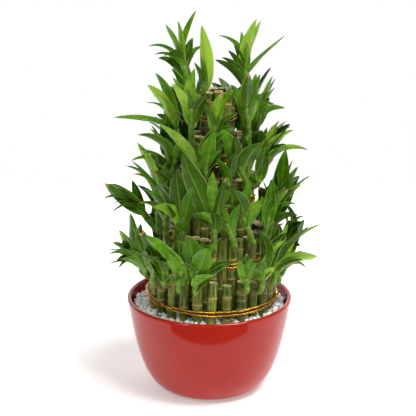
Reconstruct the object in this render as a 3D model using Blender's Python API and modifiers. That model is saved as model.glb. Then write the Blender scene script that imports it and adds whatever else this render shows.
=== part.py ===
"""Lucky bamboo tower in a glazed bowl.

Cut canes stand in five tiers round one another, each tier bound by a tie of gold wire. Leafy
shoots grow from the canes near their cut tops, and a bed of stone chips in the bowl holds all
the canes upright. The whole bundle leans a little to the right.

Metres, +Z up. The origin is the centre of the bowl's flat foot, and the front faces -Y.
An azimuth is in degrees about Z: 0 at the front, 90 at the right (+X), 180 at the back.
"""

import math

import bmesh
import bpy
import numpy as np
from mathutils import Matrix

MM = 0.001
GAP = 0.35 * MM  # free space between neighbours that touch in life

# Bowl: the outer wall's radius at height z is foot + flare * log(1 + z / curl) + draft * z
BOWL_HEIGHT = 108.5 * MM
BOWL_FOOT = 54 * MM
BOWL_FLARE = 10.6 * MM
BOWL_CURL = 4.1 * MM
BOWL_DRAFT = 0.055
BOWL_WALL = 5 * MM
BOWL_FLOOR = 6 * MM
TURNED_STEPS = 32

# Bed of stone chips
BED_TOP = BOWL_HEIGHT - 7.5 * MM
BED_CORNER = 9 * MM  # how far the bed's foot is rounded in, above the bowl's floor
BED_ROUND_CANES = 0.6 * MM
RECESS_OVER_BED = 10 * MM

# Canes
CANE_RADIUS = 5.5 * MM
CANE_SIDES = 8
CANE_UNEVENNESS = 2.5 * MM
LEAN = 1.6  # degrees towards +X, about the origin
# Outermost tier first: radius of the circle through the cane centres, number of canes,
# heights of the feet, the cut tops and the middle of the tie
TIERS = (
    (68.0 * MM, 26, 50 * MM, 145 * MM, 113 * MM),
    (51.5 * MM, 32, 26 * MM, 192 * MM, 162 * MM),
    (38.5 * MM, 24, 12 * MM, 255 * MM, 226 * MM),
    (25.6 * MM, 16, 12 * MM, 297 * MM, 270 * MM),
    (14.2 * MM, 9, 12 * MM, 347 * MM, 319 * MM),
)

# Ties
TIE_HEIGHT = 5.5 * MM
TIE_THICKNESS = 1.4 * MM

# Shoots, one row each: the tier, the cane counted from the front to the right, the stem's far
# end, the seed of the leaves' small differences, and the leaves. A leaf has its tip, its width,
# its bow as a part of its length, and its place on the stem as a part of the stem. All are mm,
# in the frame of the leaning bundle.
SHOOTS = (
    (5, -2, (-45, -4, 395), 1, (
        (-26, -6, 435, 5, 0.05, 1), (-46, -4, 423, 6, 0.03, 1), (-59, -10, 419, 4, 0.05, 0.95),
        (-78, -5, 394, 5, 0.22, 0.9), (-70, -15, 387, 4, 0.2, 0.8), (-60, -20, 386, 6, 0.3, 0.9),
        (-67, 5, 380, 7, 0.2, 0.6), (-54, -18, 391, 4, 0.3, 0.95), (-29, -12, 406, 7, 0.1, 0.85),
        (-15, -10, 397, 5, 0.2, 0.8),
    )),
    (5, 2, (29, -2, 384), 2, (
        (39, -6, 427, 13, 0.06, 0.85), (44, 6, 424, 8, 0.05, 0.9), (29, -14, 403, 5, 0.1, 1),
        (23, 4, 412, 7, 0.05, 1), (-2, -4, 408, 5, 0.2, 0.8), (71, -6, 411, 5, 0.22, 0.75),
        (15, -10, 399, 6, 0.15, 0.9), (9, -16, 394, 8, 0.2, 0.8), (2, -20, 387, 6, 0.25, 0.7),
        (-5, -26, 385, 9, 0.25, 0.55),
    )),
    (4, -2, (-28, -36, 334), 3, (
        (-26, -34, 377, 12, 0.04, 0.9), (-50, -38, 361, 13, 0.12, 0.8), (-50, -24, 365, 6, 0.1, 0.9),
        (-33, -42, 355, 6, 0.05, 0.7), (-13, -44, 353, 7, 0.12, 0.7),
    )),
    (4, -4, (-52, -6, 323), 4, (
        (-69, -8, 366, 9, 0.08, 1), (-77, -16, 354, 11, 0.15, 0.95), (-57, -2, 352, 7, 0.05, 1),
        (-79, -10, 333, 5, 0.2, 0.8), (-114, -12, 316, 5, 0.28, 0.65), (-63, -26, 344, 8, 0.15, 0.8),
    )),
    (4, 4, (47, -4, 323), 5, (
        (59, -8, 367, 9, 0.08, 0.95), (63, 4, 362, 8, 0.05, 1), (48, -20, 350, 7, 0.1, 0.9),
        (56, -16, 344, 8, 0.12, 0.85), (63, -30, 338, 13, 0.3, 0.75), (75, 0, 329, 7, 0.25, 0.8),
    )),
    (3, -2, (-15, -44, 276), 6, (
        (-63, -50, 319, 13, 0.14, 0.85), (-3, -52, 312, 11, 0.04, 0.7), (-29, -48, 302, 9, 0.05, 0.9),
        (5, -56, 294, 6, 0.15, 0.6),
    )),
    (3, -5, (-44, -22, 275), 7, (
        (-87, -24, 300, 10, 0.2, 0.8), (-86, -28, 286, 7, 0.15, 0.7), (-94, -18, 269, 4, 0.2, 0.6),
        (-57, -18, 297, 7, 0.08, 1), (-74, -12, 305, 9, 0.1, 0.95),
    )),
    (3, 3, (30, -36, 275), 38, (
        (4, -42, 303, 13, 0.12, 0.9), (49, -40, 294, 13, 0.12, 0.9), (25, -40, 300, 11, 0.05, 0.8),
        (12, -50, 284, 9, 0.25, 0.6),
    )),
    (3, 6, (51, 0, 272), 9, (
        (68, -6, 317, 11, 0.05, 1), (75, 8, 311, 5, 0.05, 1), (85, -4, 306, 9, 0.15, 0.9),
        (54, -8, 300, 7, 0.08, 0.95), (102, -6, 284, 6, 0.25, 0.75), (56, 10, 305, 6, 0.05, 1),
        (81, -16, 285, 9, 0.25, 0.8),
    )),
    (2, -7, (-61, -16, 252), 10, (
        (-87, -22, 291, 11, 0.08, 1), (-94, -14, 268, 4, 0.15, 0.9), (-100, -20, 264, 6, 0.2, 0.7),
        (-91, -28, 257, 5, 0.25, 0.8), (-53, -26, 273, 7, 0.05, 0.9), (-74, -8, 277, 9, 0.05, 1),
    )),
    (2, -8, (-89, -4, 217), 11, (
        (-119, -6, 239, 8, 0.12, 1), (-111, -12, 234, 6, 0.08, 0.95), (-126, -4, 221, 6, 0.2, 0.9),
        (-120, -10, 214, 6, 0.25, 0.8), (-115, -16, 208, 7, 0.3, 0.7), (-94, 2, 242, 8, 0.05, 1),
    )),
    (2, -3, (-34, -52, 222), 12, (
        (-71, -54, 226, 9, 0.2, 0.8), (-70, -60, 208, 9, 0.35, 0.6), (-42, -54, 252, 8, 0.03, 0.95),
        (-20, -60, 250, 8, 0.1, 0.8),
    )),
    (2, 0, (-3, -66, 225), 13, (
        (-36, -60, 291, 15, 0.04, 0.85), (0, -60, 270, 6, 0.02, 1), (9, -58, 262, 9, 0.05, 0.9),
        (17, -54, 263, 6, 0.1, 0.8), (-17, -80, 230, 7, 0.3, 0.8),
    )),
    (2, 4, (28, -52, 223), 14, (
        (48, -60, 240, 13, 0.1, 0.9), (14, -56, 250, 8, 0.05, 1), (37, -48, 261, 8, 0.05, 1),
        (7, -66, 234, 7, 0.2, 0.7),
    )),
    (2, 7, (77, -2, 241), 15, (
        (77, -4, 284, 16, 0.03, 1), (85, 6, 270, 9, 0.08, 1), (91, -12, 268, 16, 0.12, 0.9),
        (106, -6, 257, 8, 0.2, 0.85), (93, -22, 246, 13, 0.25, 0.75), (97, -28, 241, 6, 0.3, 0.6),
    )),
    (1, -7, (-79, -16, 156), 16, (
        (-95, -12, 208, 9, 0.05, 1), (-107, -8, 186, 9, 0.1, 1), (-96, -22, 193, 7, 0.08, 0.95),
        (-114, -12, 172, 9, 0.2, 0.85), (-118, -16, 159, 6, 0.3, 0.8), (-116, -24, 150, 9, 0.35, 0.7),
        (-104, -32, 149, 6, 0.3, 0.6),
    )),
    (1, -3, (-48, -62, 170), 17, (
        (-75, -64, 204, 13, 0.1, 0.8), (-91, -44, 213, 8, 0.08, 0.9), (-81, -50, 209, 9, 0.05, 1),
        (-62, -84, 164, 9, 0.35, 0.6), (-33, -66, 197, 9, 0.05, 0.95),
    )),
    (1, -1, (-21, -78, 177), 18, (
        (-41, -84, 197, 10, 0.12, 0.9), (-29, -76, 205, 7, 0.04, 1), (-16, -86, 195, 7, 0.06, 0.9),
        (-44, -98, 156, 11, 0.5, 0.5), (-4, -92, 180, 7, 0.25, 0.7),
    )),
    (1, 3, (58, -48, 168), 19, (
        (75, -48, 194, 11, 0.1, 1), (77, -30, 218, 11, 0.04, 0.95), (39, -72, 167, 10, 0.35, 0.7),
        (63, -56, 190, 9, 0.05, 1), (92, -50, 168, 9, 0.3, 0.7),
    )),
    (1, 6, (87, -10, 168), 20, (
        (121, -6, 200, 7, 0.1, 1), (101, -4, 190, 8, 0.05, 1), (97, -16, 195, 16, 0.08, 0.9),
        (104, -24, 174, 9, 0.2, 0.8), (118, -14, 162, 12, 0.3, 0.75), (98, -34, 148, 8, 0.3, 0.6),
    )),
    (3, 12, (-8, 62, 288), 21, (
        (-30, 60, 318, 9, 0.1, 1), (10, 66, 322, 9, 0.05, 1), (34, 70, 296, 9, 0.2, 0.9),
        (-46, 74, 290, 9, 0.25, 0.8), (-6, 88, 300, 10, 0.2, 0.8), (16, 84, 276, 9, 0.3, 0.6),
    )),
    (2, 16, (12, 76, 224), 22, (
        (-6, 74, 262, 9, 0.05, 1), (34, 78, 256, 9, 0.1, 1), (52, 86, 232, 9, 0.2, 0.85),
        (-30, 90, 236, 9, 0.2, 0.8), (14, 104, 222, 10, 0.3, 0.7),
    )),
    (1, 13, (-14, 92, 172), 23, (
        (-34, 88, 206, 9, 0.05, 1), (6, 94, 208, 9, 0.05, 1), (28, 104, 180, 9, 0.2, 0.85),
        (-52, 104, 178, 9, 0.25, 0.8), (-12, 118, 160, 10, 0.3, 0.7),
    )),
)
SHOOT_BELOW_TOP = 9 * MM
STEM_COLLAR = 2.5 * MM  # straight start of a stem, square to its cane
STEM_REACH = 8 * MM  # how far it bows outwards from there before it turns up
STEM_RADIUS = 3.8 * MM
STEM_TIP_RADIUS = 2.4 * MM
STEM_POINTS = 5

# Leaves
LEAF_WIDEST_AT = 0.42  # of its length, from the stem
LEAF_FOOT = 0.35  # width at the stem, of the full width
LEAF_KEEL = 1.6 * MM  # depth of the midrib's keel, under the widest part
LEAF_ROWS = 4
LEAF_APART = 4.6 * MM
OWN_LEAVES_APART = 3.0 * MM  # beyond the third of each that lies near the stem
LEAF_OFF_CANES = 1.5 * MM
LEAF_OVER_BED = 4 * MM
LEAF_OVER_RIM = 6 * MM
RIM_BEGINS = 78 * MM  # from the axis, where a leaf hangs over the rim and not over the bed
LEAF_HIGHEST_AT = 0.98  # of its stem
# A leaf's face turns this part of its cane's azimuth away from the front, or from the back where
# the cane is FACES_BACK degrees round or more. It varies by up to LEAF_TURN_VARIES degrees.
LEAF_FACES = 0.45
FACES_BACK = 120
LEAF_TURN_VARIES = 25
LEAF_TIP_VARIES_MM = 1
LEVEL_ENOUGH = 0.02  # the least upright part of a unit vector that counts
# Other places tried for the tip of a leaf that would touch its neighbours
TIP_CHOICES_MM = [(0, 0, 0)] + [
    (x, y, z) for far in (6, 11, 17, 24)
    for x, y, z in ((0, -far, 0), (0, far, 0), (0, -far, far / 2), (0, far, far / 2),
                    (-far / 2, -far, 0), (far / 2, far, 0), (far / 2, -far, 0), (-far / 2, far, 0))
]


def collection(name):
    made = bpy.data.collections.new(name)
    bpy.context.scene.collection.children.link(made)
    return made


def material(name, colour, roughness, metallic=0.0):
    """A Principled material, its colour given as sRGB values from 0 to 255."""
    linear = [((c / 255 + 0.055) / 1.055) ** 2.4 for c in colour]
    made = bpy.data.materials.new(name)
    made.use_nodes = True
    shader = made.node_tree.nodes["Principled BSDF"]
    shader.inputs["Base Color"].default_value = (*linear, 1.0)
    shader.inputs["Roughness"].default_value = roughness
    shader.inputs["Metallic"].default_value = metallic
    return made


def add_object(name, data, group, finish=None, parent=None):
    made = bpy.data.objects.new(name, data)
    group.objects.link(made)
    if finish:
        data.materials.append(finish)
    if parent:
        made.parent = parent
    return made


def place(radius, azimuth, z):
    """The point at a distance from the axis, an azimuth and a height."""
    turn = math.radians(azimuth)
    return np.array((radius * math.sin(turn), -radius * math.cos(turn), z))


def bowl_radius(z):
    return BOWL_FOOT + BOWL_FLARE * math.log(1 + z / BOWL_CURL) + BOWL_DRAFT * z


def turned(name, profile, group, finish=None, parent=None):
    """A turned solid from a closed profile of radii and heights, down its outer side first."""
    mesh = bpy.data.meshes.new(name)
    edges = [(i, (i + 1) % len(profile)) for i in range(len(profile))]
    on_axis = [i for i, (r, z) in enumerate(profile) if r == 0.0]
    if on_axis:
        edges = [e for e in edges if set(e) != set(on_axis)]
    mesh.from_pydata([(r, 0.0, z) for r, z in profile], edges, [])
    made = add_object(name, mesh, group, finish, parent)
    screw = made.modifiers.new("Turn", "SCREW")
    screw.steps = TURNED_STEPS
    screw.render_steps = TURNED_STEPS
    screw.use_merge_vertices = True
    screw.merge_threshold = 0.00001
    screw.use_smooth_shade = True
    return made


def make_bowl(group):
    """A thin wall flaring up from a flat foot to a rounded rim, with a flat floor inside."""
    top = BOWL_HEIGHT
    heights = [top - 2.2 * MM, 0.65 * top, 0.35 * top, 0.16 * top, 0.07 * top, 2 * MM]
    outer = [(bowl_radius(z), z) for z in heights]
    foot = [(BOWL_FOOT + 2.5 * MM, 0.5 * MM), (BOWL_FOOT, 0.0), (0.0, 0.0)]
    inner = [(bowl_radius(z) - BOWL_WALL, z) for z in heights[:4]]
    rim = [
        (bowl_radius(top) - 3.7 * MM, top - 0.6 * MM),
        (bowl_radius(top) - BOWL_WALL / 2, top),
        (bowl_radius(top) - 1.0 * MM, top - 0.6 * MM),
    ]
    floor = [(0.0, BOWL_FLOOR), (inner[-1][0] - 5 * MM, BOWL_FLOOR)]
    profile = outer + foot + floor + inner[::-1] + rim
    turned("pot", profile, group, material("red glaze", (176, 40, 36), 0.12))


def make_bed(group, cutters, lean):
    """Stone chips that fill the bowl round and under the canes, each tier on its own step."""
    heights = [BED_TOP, 0.65 * BED_TOP, 0.35 * BED_TOP, 0.16 * BED_TOP]
    wall = [(bowl_radius(z) - BOWL_WALL - 2 * GAP, z) for z in heights]
    low = BOWL_FLOOR + GAP
    profile = [(0.0, BED_TOP)] + wall + [(wall[-1][0] - BED_CORNER, low), (0.0, low)]
    bed = turned("gravel_bed", profile, group, material("white marble chips", (226, 226, 222), 0.7))
    steps = []
    over = BED_TOP + RECESS_OVER_BED
    ceiling = over
    for ring, count, foot, top, tie in TIERS[:3]:
        edge = ring + CANE_RADIUS + BED_ROUND_CANES
        steps += [(edge, ceiling), (edge, foot - GAP)]
        ceiling = foot - GAP
    recess = turned("recess", [(0.0, over)] + steps + [(0.0, ceiling)], cutters, parent=lean)
    recess.hide_render = True
    recess.display_type = "WIRE"
    cut = bed.modifiers.new("Recess for the canes", "BOOLEAN")
    cut.operation = "DIFFERENCE"
    cut.object = recess


def cane_places(tier):
    """The azimuth and the top height of each cane of a tier, from the front to the right."""
    ring, count, foot, top, tie = TIERS[tier]
    rng = np.random.default_rng(10 + tier)
    tops = top + CANE_UNEVENNESS * rng.uniform(-1, 1, count)
    return [(360 * i / count, tops[i]) for i in range(count)]


def add_cane(bm, ring, azimuth, foot, top):
    """Adds one straight cane, a corner of its outline facing out from the axis."""
    cane = bmesh.ops.create_cone(
        bm, cap_ends=True, segments=CANE_SIDES, radius1=CANE_RADIUS, radius2=CANE_RADIUS, depth=top - foot
    )
    turn = Matrix.Rotation(math.radians(azimuth), 3, "Z")
    bmesh.ops.rotate(bm, verts=cane["verts"], matrix=turn)
    bmesh.ops.translate(bm, verts=cane["verts"], vec=place(ring, azimuth, (top + foot) / 2))


def make_outer_canes(group, lean, finish):
    """The outermost canes stand apart from one another, each in a node of its own."""
    ring, count, foot, top, tie = TIERS[0]
    for i, (azimuth, height) in enumerate(cane_places(0)):
        name = f"tier_1_cane_{i + 1:02d}"
        bm = bmesh.new()
        add_cane(bm, ring, azimuth, foot, height)
        mesh = bpy.data.meshes.new(name)
        bm.to_mesh(mesh)
        bm.free()
        add_object(name, mesh, group, finish, lean)


def make_inner_canes(tier, group, cutters, lean, finish):
    """The canes of an inner tier press against each other, and are joined into one ring."""
    ring, count, foot, top, tie = TIERS[tier]
    halves = [bmesh.new(), bmesh.new()]
    for i, (azimuth, height) in enumerate(cane_places(tier)):
        add_cane(halves[i % 2], ring, azimuth, foot, height)
    name = f"tier_{tier + 1}_canes"
    meshes = []
    for bm, part in zip(halves, ("even", "odd")):
        mesh = bpy.data.meshes.new(f"{name}_{part}")
        bm.to_mesh(mesh)
        bm.free()
        meshes.append(mesh)
    made = add_object(name, meshes[0], group, finish, lean)
    union(made, add_object(f"{name}_odd", meshes[1], cutters, None, lean))


def union(made, other):
    other.hide_render = True
    other.display_type = "WIRE"
    join = made.modifiers.new("Join", "BOOLEAN")
    join.operation = "UNION"
    join.solver = "MANIFOLD"
    join.object = other


def make_tie(tier, group, lean, finish):
    """Two turns of wire, as one band that is thickest at its middle."""
    ring, count, foot, top, tie = TIERS[tier]
    inside = ring + CANE_RADIUS + GAP
    outside = inside + TIE_THICKNESS
    half = TIE_HEIGHT / 2
    profile = [
        (outside, tie + half / 2), (outside, tie - half / 2),
        (inside, tie - half), (inside, tie + half),
    ]
    turned(f"tie_{tier + 1}", profile, group, finish, lean)


def stem_path(tier, cane, end):
    """The stem's centreline: out from the cane's side, then turning towards its far end."""
    ring, count = TIERS[tier - 1][:2]
    azimuth, height = cane_places(tier - 1)[cane % count]
    foot = place(ring + CANE_RADIUS + GAP, azimuth, height - SHOOT_BELOW_TOP)
    start = foot + place(STEM_COLLAR, azimuth, 0)
    knee = start + place(STEM_REACH, azimuth, 0)
    t = np.linspace(0, 1, STEM_POINTS - 1)[:, None]
    return np.vstack([foot, (1 - t) ** 2 * start + 2 * t * (1 - t) * knee + t**2 * end])


def unit(vector):
    return vector / np.linalg.norm(vector)


def blade(start, tip, wide, bow, faced, rows=LEAF_ROWS):
    """A leaf's spine, the direction across it and its width, row by row.

    The spine is a parabola from start to tip. Its middle is raised from the straight line by bow
    times the length, on the side that looks up. The face turns from there towards faced as far
    as the middle of the leaf allows, and keeps that side along the leaf. The width is that of a
    lance: full at LEAF_WIDEST_AT, narrow at the stem, pointed at the tip.
    """
    s = np.linspace(0, 1, rows)[:, None]
    chord = tip - start
    along = unit(chord)
    rise = np.array((0, 0, 1)) - along[2] * along
    rise = unit(rise if np.linalg.norm(rise) > LEVEL_ENOUGH else -faced)
    knee = (start + tip) / 2 + 2 * bow * np.linalg.norm(chord) * rise
    spine = (1 - s) ** 2 * start + 2 * s * (1 - s) * knee + s**2 * tip
    path = (1 - s) * (knee - start) + s * (tip - knee)
    path /= np.linalg.norm(path, axis=1)[:, None]
    front = faced - (faced @ along) * along
    front *= -1 if front @ rise < 0 else 1
    face = front + rise / 2
    across = np.cross(path, face - (path @ face)[:, None] * path)
    across /= np.linalg.norm(across, axis=1)[:, None]
    s = s[:, 0]
    shape = np.sin(np.pi * s ** (math.log(0.5) / math.log(LEAF_WIDEST_AT))) + LEAF_FOOT * (1 - s)
    return spine, across, wide * np.maximum(shape / 1.15, 0.1)


def samples(spine, across, width):
    """Points spread over a blade, to measure distances from."""
    side = 0.5 * width[:, None] * across
    return np.concatenate([spine, spine - side, spine + side])


def bundle_radius(z):
    """How far the canes and ties reach from the axis at each height."""
    reach = np.zeros(len(z))
    for ring, count, foot, top, tie in TIERS:
        edge = ring + CANE_RADIUS + TIE_THICKNESS + LEAF_OFF_CANES
        beside = z < top + CANE_UNEVENNESS + LEAF_OFF_CANES
        reach = np.where(beside, np.maximum(reach, edge), reach)
    return reach


def distance(some, others):
    """The shortest distance between two sets of points."""
    return np.linalg.norm(some[:, None] - others[None], axis=2).min()


def fits(leaf, taken, own):
    """Whether a leaf clears the other shoots, its own shoot's leaves, the canes and the bowl."""
    spine, across, width = blade(*leaf, rows=9)
    points = samples(spine, across, width)
    radius = np.hypot(points[:, 0], points[:, 1])
    height = points[:, 2]
    if np.any(radius < bundle_radius(height)):
        return False
    lowest = np.where(radius > RIM_BEGINS, BOWL_HEIGHT + LEAF_OVER_RIM, BED_TOP + LEAF_OVER_BED)
    if np.any(height < lowest):
        return False
    free = samples(spine[3:], across[3:], width[3:])
    if own and distance(free, np.concatenate(own)) < OWN_LEAVES_APART:
        return False
    return distance(points, taken) > LEAF_APART


def plan_shoots():
    """Every shoot's stem and leaves, each leaf placed where it clears those placed before."""
    plan = []
    counts = [0] * (len(TIERS) + 1)
    for tier, cane, end, seed, leaves in SHOOTS:
        counts[tier] += 1
        stem = stem_path(tier, cane, np.array(end) * MM)
        plan.append({"name": f"tier_{tier}_shoot_{counts[tier]}", "stem": stem, "leaves": []})
    hulls = [np.concatenate([a + (b - a) * t for t in (0, 0.25, 0.5, 0.75, 1)]) for a, b in
             ((shoot["stem"][:-1], shoot["stem"][1:]) for shoot in plan)]
    placed = [[] for shoot in plan]
    free_ends = [[] for shoot in plan]
    for index, (tier, cane, end, seed, leaves) in enumerate(SHOOTS):
        rng = np.random.default_rng(seed)
        azimuth = (cane_places(tier - 1)[cane % TIERS[tier - 1][1]][0] + 180) % 360 - 180
        if abs(azimuth) < FACES_BACK:
            turned_to = LEAF_FACES * azimuth
        else:
            turned_to = 180 - LEAF_FACES * (180 - azimuth % 360)
        stem = plan[index]["stem"]
        for x, y, z, wide, bow, at in leaves:
            node = at * (STEM_POINTS - 1) * LEAF_HIGHEST_AT
            low = min(int(node), STEM_POINTS - 2)
            start = stem[low] + (node - low) * (stem[low + 1] - stem[low])
            faced = place(1, turned_to + LEAF_TURN_VARIES * rng.uniform(-1, 1), 0)
            tip = np.array((x, y, z)) + LEAF_TIP_VARIES_MM * rng.uniform(-1, 1, 3)
            others = [np.concatenate([hulls[j]] + placed[j]) for j in range(len(plan)) if j != index]
            taken = np.concatenate(others)
            for shift in TIP_CHOICES_MM:
                choice = (start, (tip + shift) * MM, wide * MM, bow, faced)
                if fits(choice, taken, free_ends[index]):
                    plan[index]["leaves"].append(choice)
                    spine, across, width = blade(*choice, rows=13)
                    placed[index].append(samples(spine, across, width))
                    free_ends[index].append(samples(spine[4:], across[4:], width[4:]))
                    break
    return plan


def make_shoot(shoot, group, cutters, lean, finish):
    """A tapered stem with its leaf blades joined on."""
    name = shoot["name"]
    curve = bpy.data.curves.new(name, "CURVE")
    curve.dimensions = "3D"
    curve.bevel_depth = STEM_RADIUS
    curve.bevel_resolution = 1
    curve.use_fill_caps = True
    spline = curve.splines.new("POLY")
    spline.points.add(STEM_POINTS - 1)
    for i, at in enumerate(shoot["stem"]):
        spline.points[i].co = (*at, 1.0)
        taper = i / (STEM_POINTS - 1)
        spline.points[i].radius = 1 - taper + taper * STEM_TIP_RADIUS / STEM_RADIUS
    guide = add_object(f"{name}_guide", curve, cutters)
    bpy.context.view_layer.update()
    mesh = bpy.data.meshes.new_from_object(guide.evaluated_get(bpy.context.evaluated_depsgraph_get()))
    bpy.data.objects.remove(guide)
    mesh.materials.clear()
    bm = bmesh.new()
    bm.from_mesh(mesh)
    bmesh.ops.remove_doubles(bm, verts=bm.verts, dist=0.00001)
    bm.to_mesh(mesh)
    bm.free()
    stem = add_object(name, mesh, cutters)
    blades = []
    for i, leaf in enumerate(shoot["leaves"]):
        blades.append(add_object(f"{name}_leaf_{i + 1}", leaf_mesh(*leaf), cutters))
        union(stem, blades[-1])
    add_object(name, evaluated(stem), group, finish, lean)
    for old in blades:
        bpy.data.objects.remove(old)


def evaluated(source):
    """An object's final mesh, with any pocket closed off inside it filled."""
    bpy.context.view_layer.update()
    mesh = bpy.data.meshes.new_from_object(
        source.evaluated_get(bpy.context.evaluated_depsgraph_get())
    )
    mesh.materials.clear()
    bpy.data.objects.remove(source)
    bm = bmesh.new()
    bm.from_mesh(mesh)
    bmesh.ops.remove_doubles(bm, verts=bm.verts, dist=0.0000003)
    skin = connected(max(bm.verts, key=lambda v: v.co.z))
    bmesh.ops.delete(bm, geom=[v for v in bm.verts if v not in skin], context="VERTS")
    bm.to_mesh(mesh)
    bm.free()
    return mesh


def connected(first):
    """Every vertex that edges join to the first."""
    found = {first}
    edge = [first]
    while edge:
        vertex = edge.pop()
        for link in vertex.link_edges:
            other = link.other_vert(vertex)
            if other not in found:
                found.add(other)
                edge.append(other)
    return found


def leaf_mesh(*leaf):
    """Lofts a leaf through flat triangles: its two edges and the keel of its midrib below."""
    bm = bmesh.new()
    spine, across, width = blade(*leaf)
    below = np.cross(across, np.gradient(spine, axis=0))
    below /= np.linalg.norm(below, axis=1)[:, None]
    below *= -np.sign(below[0, 2])
    rows = []
    for at, wide, side, down in zip(spine[:-1], width, across, below):
        corners = (at - side * wide / 2, at + side * wide / 2, at + down * LEAF_KEEL)
        rows.append([bm.verts.new(corner) for corner in corners])
    tip = bm.verts.new(spine[-1])
    for near, far in zip(rows, rows[1:]):
        for i in range(3):
            j = (i + 1) % 3
            bm.faces.new((near[i], near[j], far[j], far[i]))
    bm.faces.new(rows[0])
    for i in range(3):
        bm.faces.new((rows[-1][i], rows[-1][(i + 1) % 3], tip))
    bmesh.ops.recalc_face_normals(bm, faces=bm.faces)
    mesh = bpy.data.meshes.new("leaf")
    bm.to_mesh(mesh)
    bm.free()
    return mesh


def main():
    for old in list(bpy.data.objects):
        bpy.data.objects.remove(old)
    parts = collection("lucky_bamboo")
    cutters = collection("cutters")

    lean = add_object("bundle_lean", None, parts)
    lean.rotation_euler = (0.0, math.radians(LEAN), 0.0)

    make_bowl(parts)
    make_bed(parts, cutters, lean)
    cane_green = material("cut cane", (124, 142, 66), 0.45)
    make_outer_canes(parts, lean, cane_green)
    for tier in range(1, len(TIERS)):
        make_inner_canes(tier, parts, cutters, lean, cane_green)
    gold = material("gold wire", (214, 160, 46), 0.25, 1.0)
    for tier in range(len(TIERS)):
        make_tie(tier, parts, lean, gold)
    leaf_green = material("leaf", (74, 132, 40), 0.4)
    for shoot in plan_shoots():
        make_shoot(shoot, parts, cutters, lean, leaf_green)


main()
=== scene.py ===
"""Lucky bamboo: a tower of cut canes tied with gold wire, in a red glazed bowl of marble chips.

Lengths are in mm until they go into a mesh. +Z is up and the front faces -Y. An azimuth is in
degrees about Z: 0 at the front, 90 at the right (+X), 180 at the back.
"""

import math

import bmesh
import bpy
import numpy as np
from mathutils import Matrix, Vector


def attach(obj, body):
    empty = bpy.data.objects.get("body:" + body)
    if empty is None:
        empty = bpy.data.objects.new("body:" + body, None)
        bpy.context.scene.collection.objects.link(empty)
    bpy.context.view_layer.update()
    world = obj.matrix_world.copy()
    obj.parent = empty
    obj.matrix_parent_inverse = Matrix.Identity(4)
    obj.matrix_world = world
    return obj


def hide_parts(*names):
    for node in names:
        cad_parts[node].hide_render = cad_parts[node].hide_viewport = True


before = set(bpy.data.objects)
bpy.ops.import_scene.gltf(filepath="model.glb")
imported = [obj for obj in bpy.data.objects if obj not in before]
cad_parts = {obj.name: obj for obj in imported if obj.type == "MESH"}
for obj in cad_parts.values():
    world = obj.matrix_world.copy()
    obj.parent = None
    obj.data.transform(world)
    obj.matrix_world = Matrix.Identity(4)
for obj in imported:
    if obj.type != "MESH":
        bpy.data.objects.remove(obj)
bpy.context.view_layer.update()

# ---------------------------------------------------------------------------- bowl
# A stoneware bowl, thrown with a thin wall that flares up from a flat foot to a rounded lip.
# It is dipped in a glossy red glaze and wiped bare on the ring that it stands on.
MM = 0.001


def linear(colour):
    """An sRGB hex colour as linear red, green, blue and full alpha."""
    parts = [int(colour[i:i + 2], 16) / 255 for i in (1, 3, 5)]
    return (*(c / 12.92 if c <= 0.04045 else ((c + 0.055) / 1.055) ** 2.4 for c in parts), 1.0)


def set_inputs(tree, node, inputs):
    """Sets a node's sockets, each to a value or to a link from another node's socket.

    Sockets that share a name go by number. A colour mix has its factor at 0, its colours at 6 and
    7 and its result at 2. Math has its operands at 0 to 2. A map range has the range that it takes
    at 1 and 2, and the range that it gives at 3 and 4.
    """
    for name, value in inputs.items():
        if isinstance(value, bpy.types.NodeSocket):
            tree.links.new(value, node.inputs[name])
        else:
            node.inputs[name].default_value = value


def add(tree, kind, inputs, **settings):
    """Adds one node with its settings and links, and gives its output sockets."""
    node = tree.nodes.new(kind)
    for name, value in settings.items():
        setattr(node, name, value)
    set_inputs(tree, node, inputs)
    return node.outputs


def new_finish(name):
    """A new material, its node tree and its Principled shader."""
    made = bpy.data.materials.new(name)
    made.use_nodes = True
    return made, made.node_tree, made.node_tree.nodes["Principled BSDF"]


def in_scene(name, data):
    """A new object that holds a mesh, lamp or camera, linked into the scene."""
    made = bpy.data.objects.new(name, data)
    bpy.context.scene.collection.objects.link(made)
    return made


def mottled(name, across, detail, low, high):
    """A new finish whose colour wanders between two, in patches so many mm across.

    Gives the material, its tree and shader, the place on the object and the pattern of patches.
    """
    made, tree, shader = new_finish(name)
    where = add(tree, "ShaderNodeTexCoord", {})["Object"]
    patches = add(tree, "ShaderNodeTexNoise", {"Vector": where, "Scale": 1 / (across * MM), "Detail": detail})
    colour = add(tree, "ShaderNodeMix", {0: patches["Fac"], 6: linear(low), 7: linear(high)},
                 data_type="RGBA")
    set_inputs(tree, shader, {"Base Color": colour[2]})
    return made, tree, shader, where, patches["Fac"]


def ring_faces(rows, around, first=0):
    """Quads from each closed ring of points to the next, for rows rings of around points."""
    i = np.arange(rows - 1)[:, None] * around
    j = np.arange(around)[None]
    k = (j + 1) % around
    return first + np.stack([i + j, i + k, i + around + k, i + around + j], axis=2).reshape(-1, 4)


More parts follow.
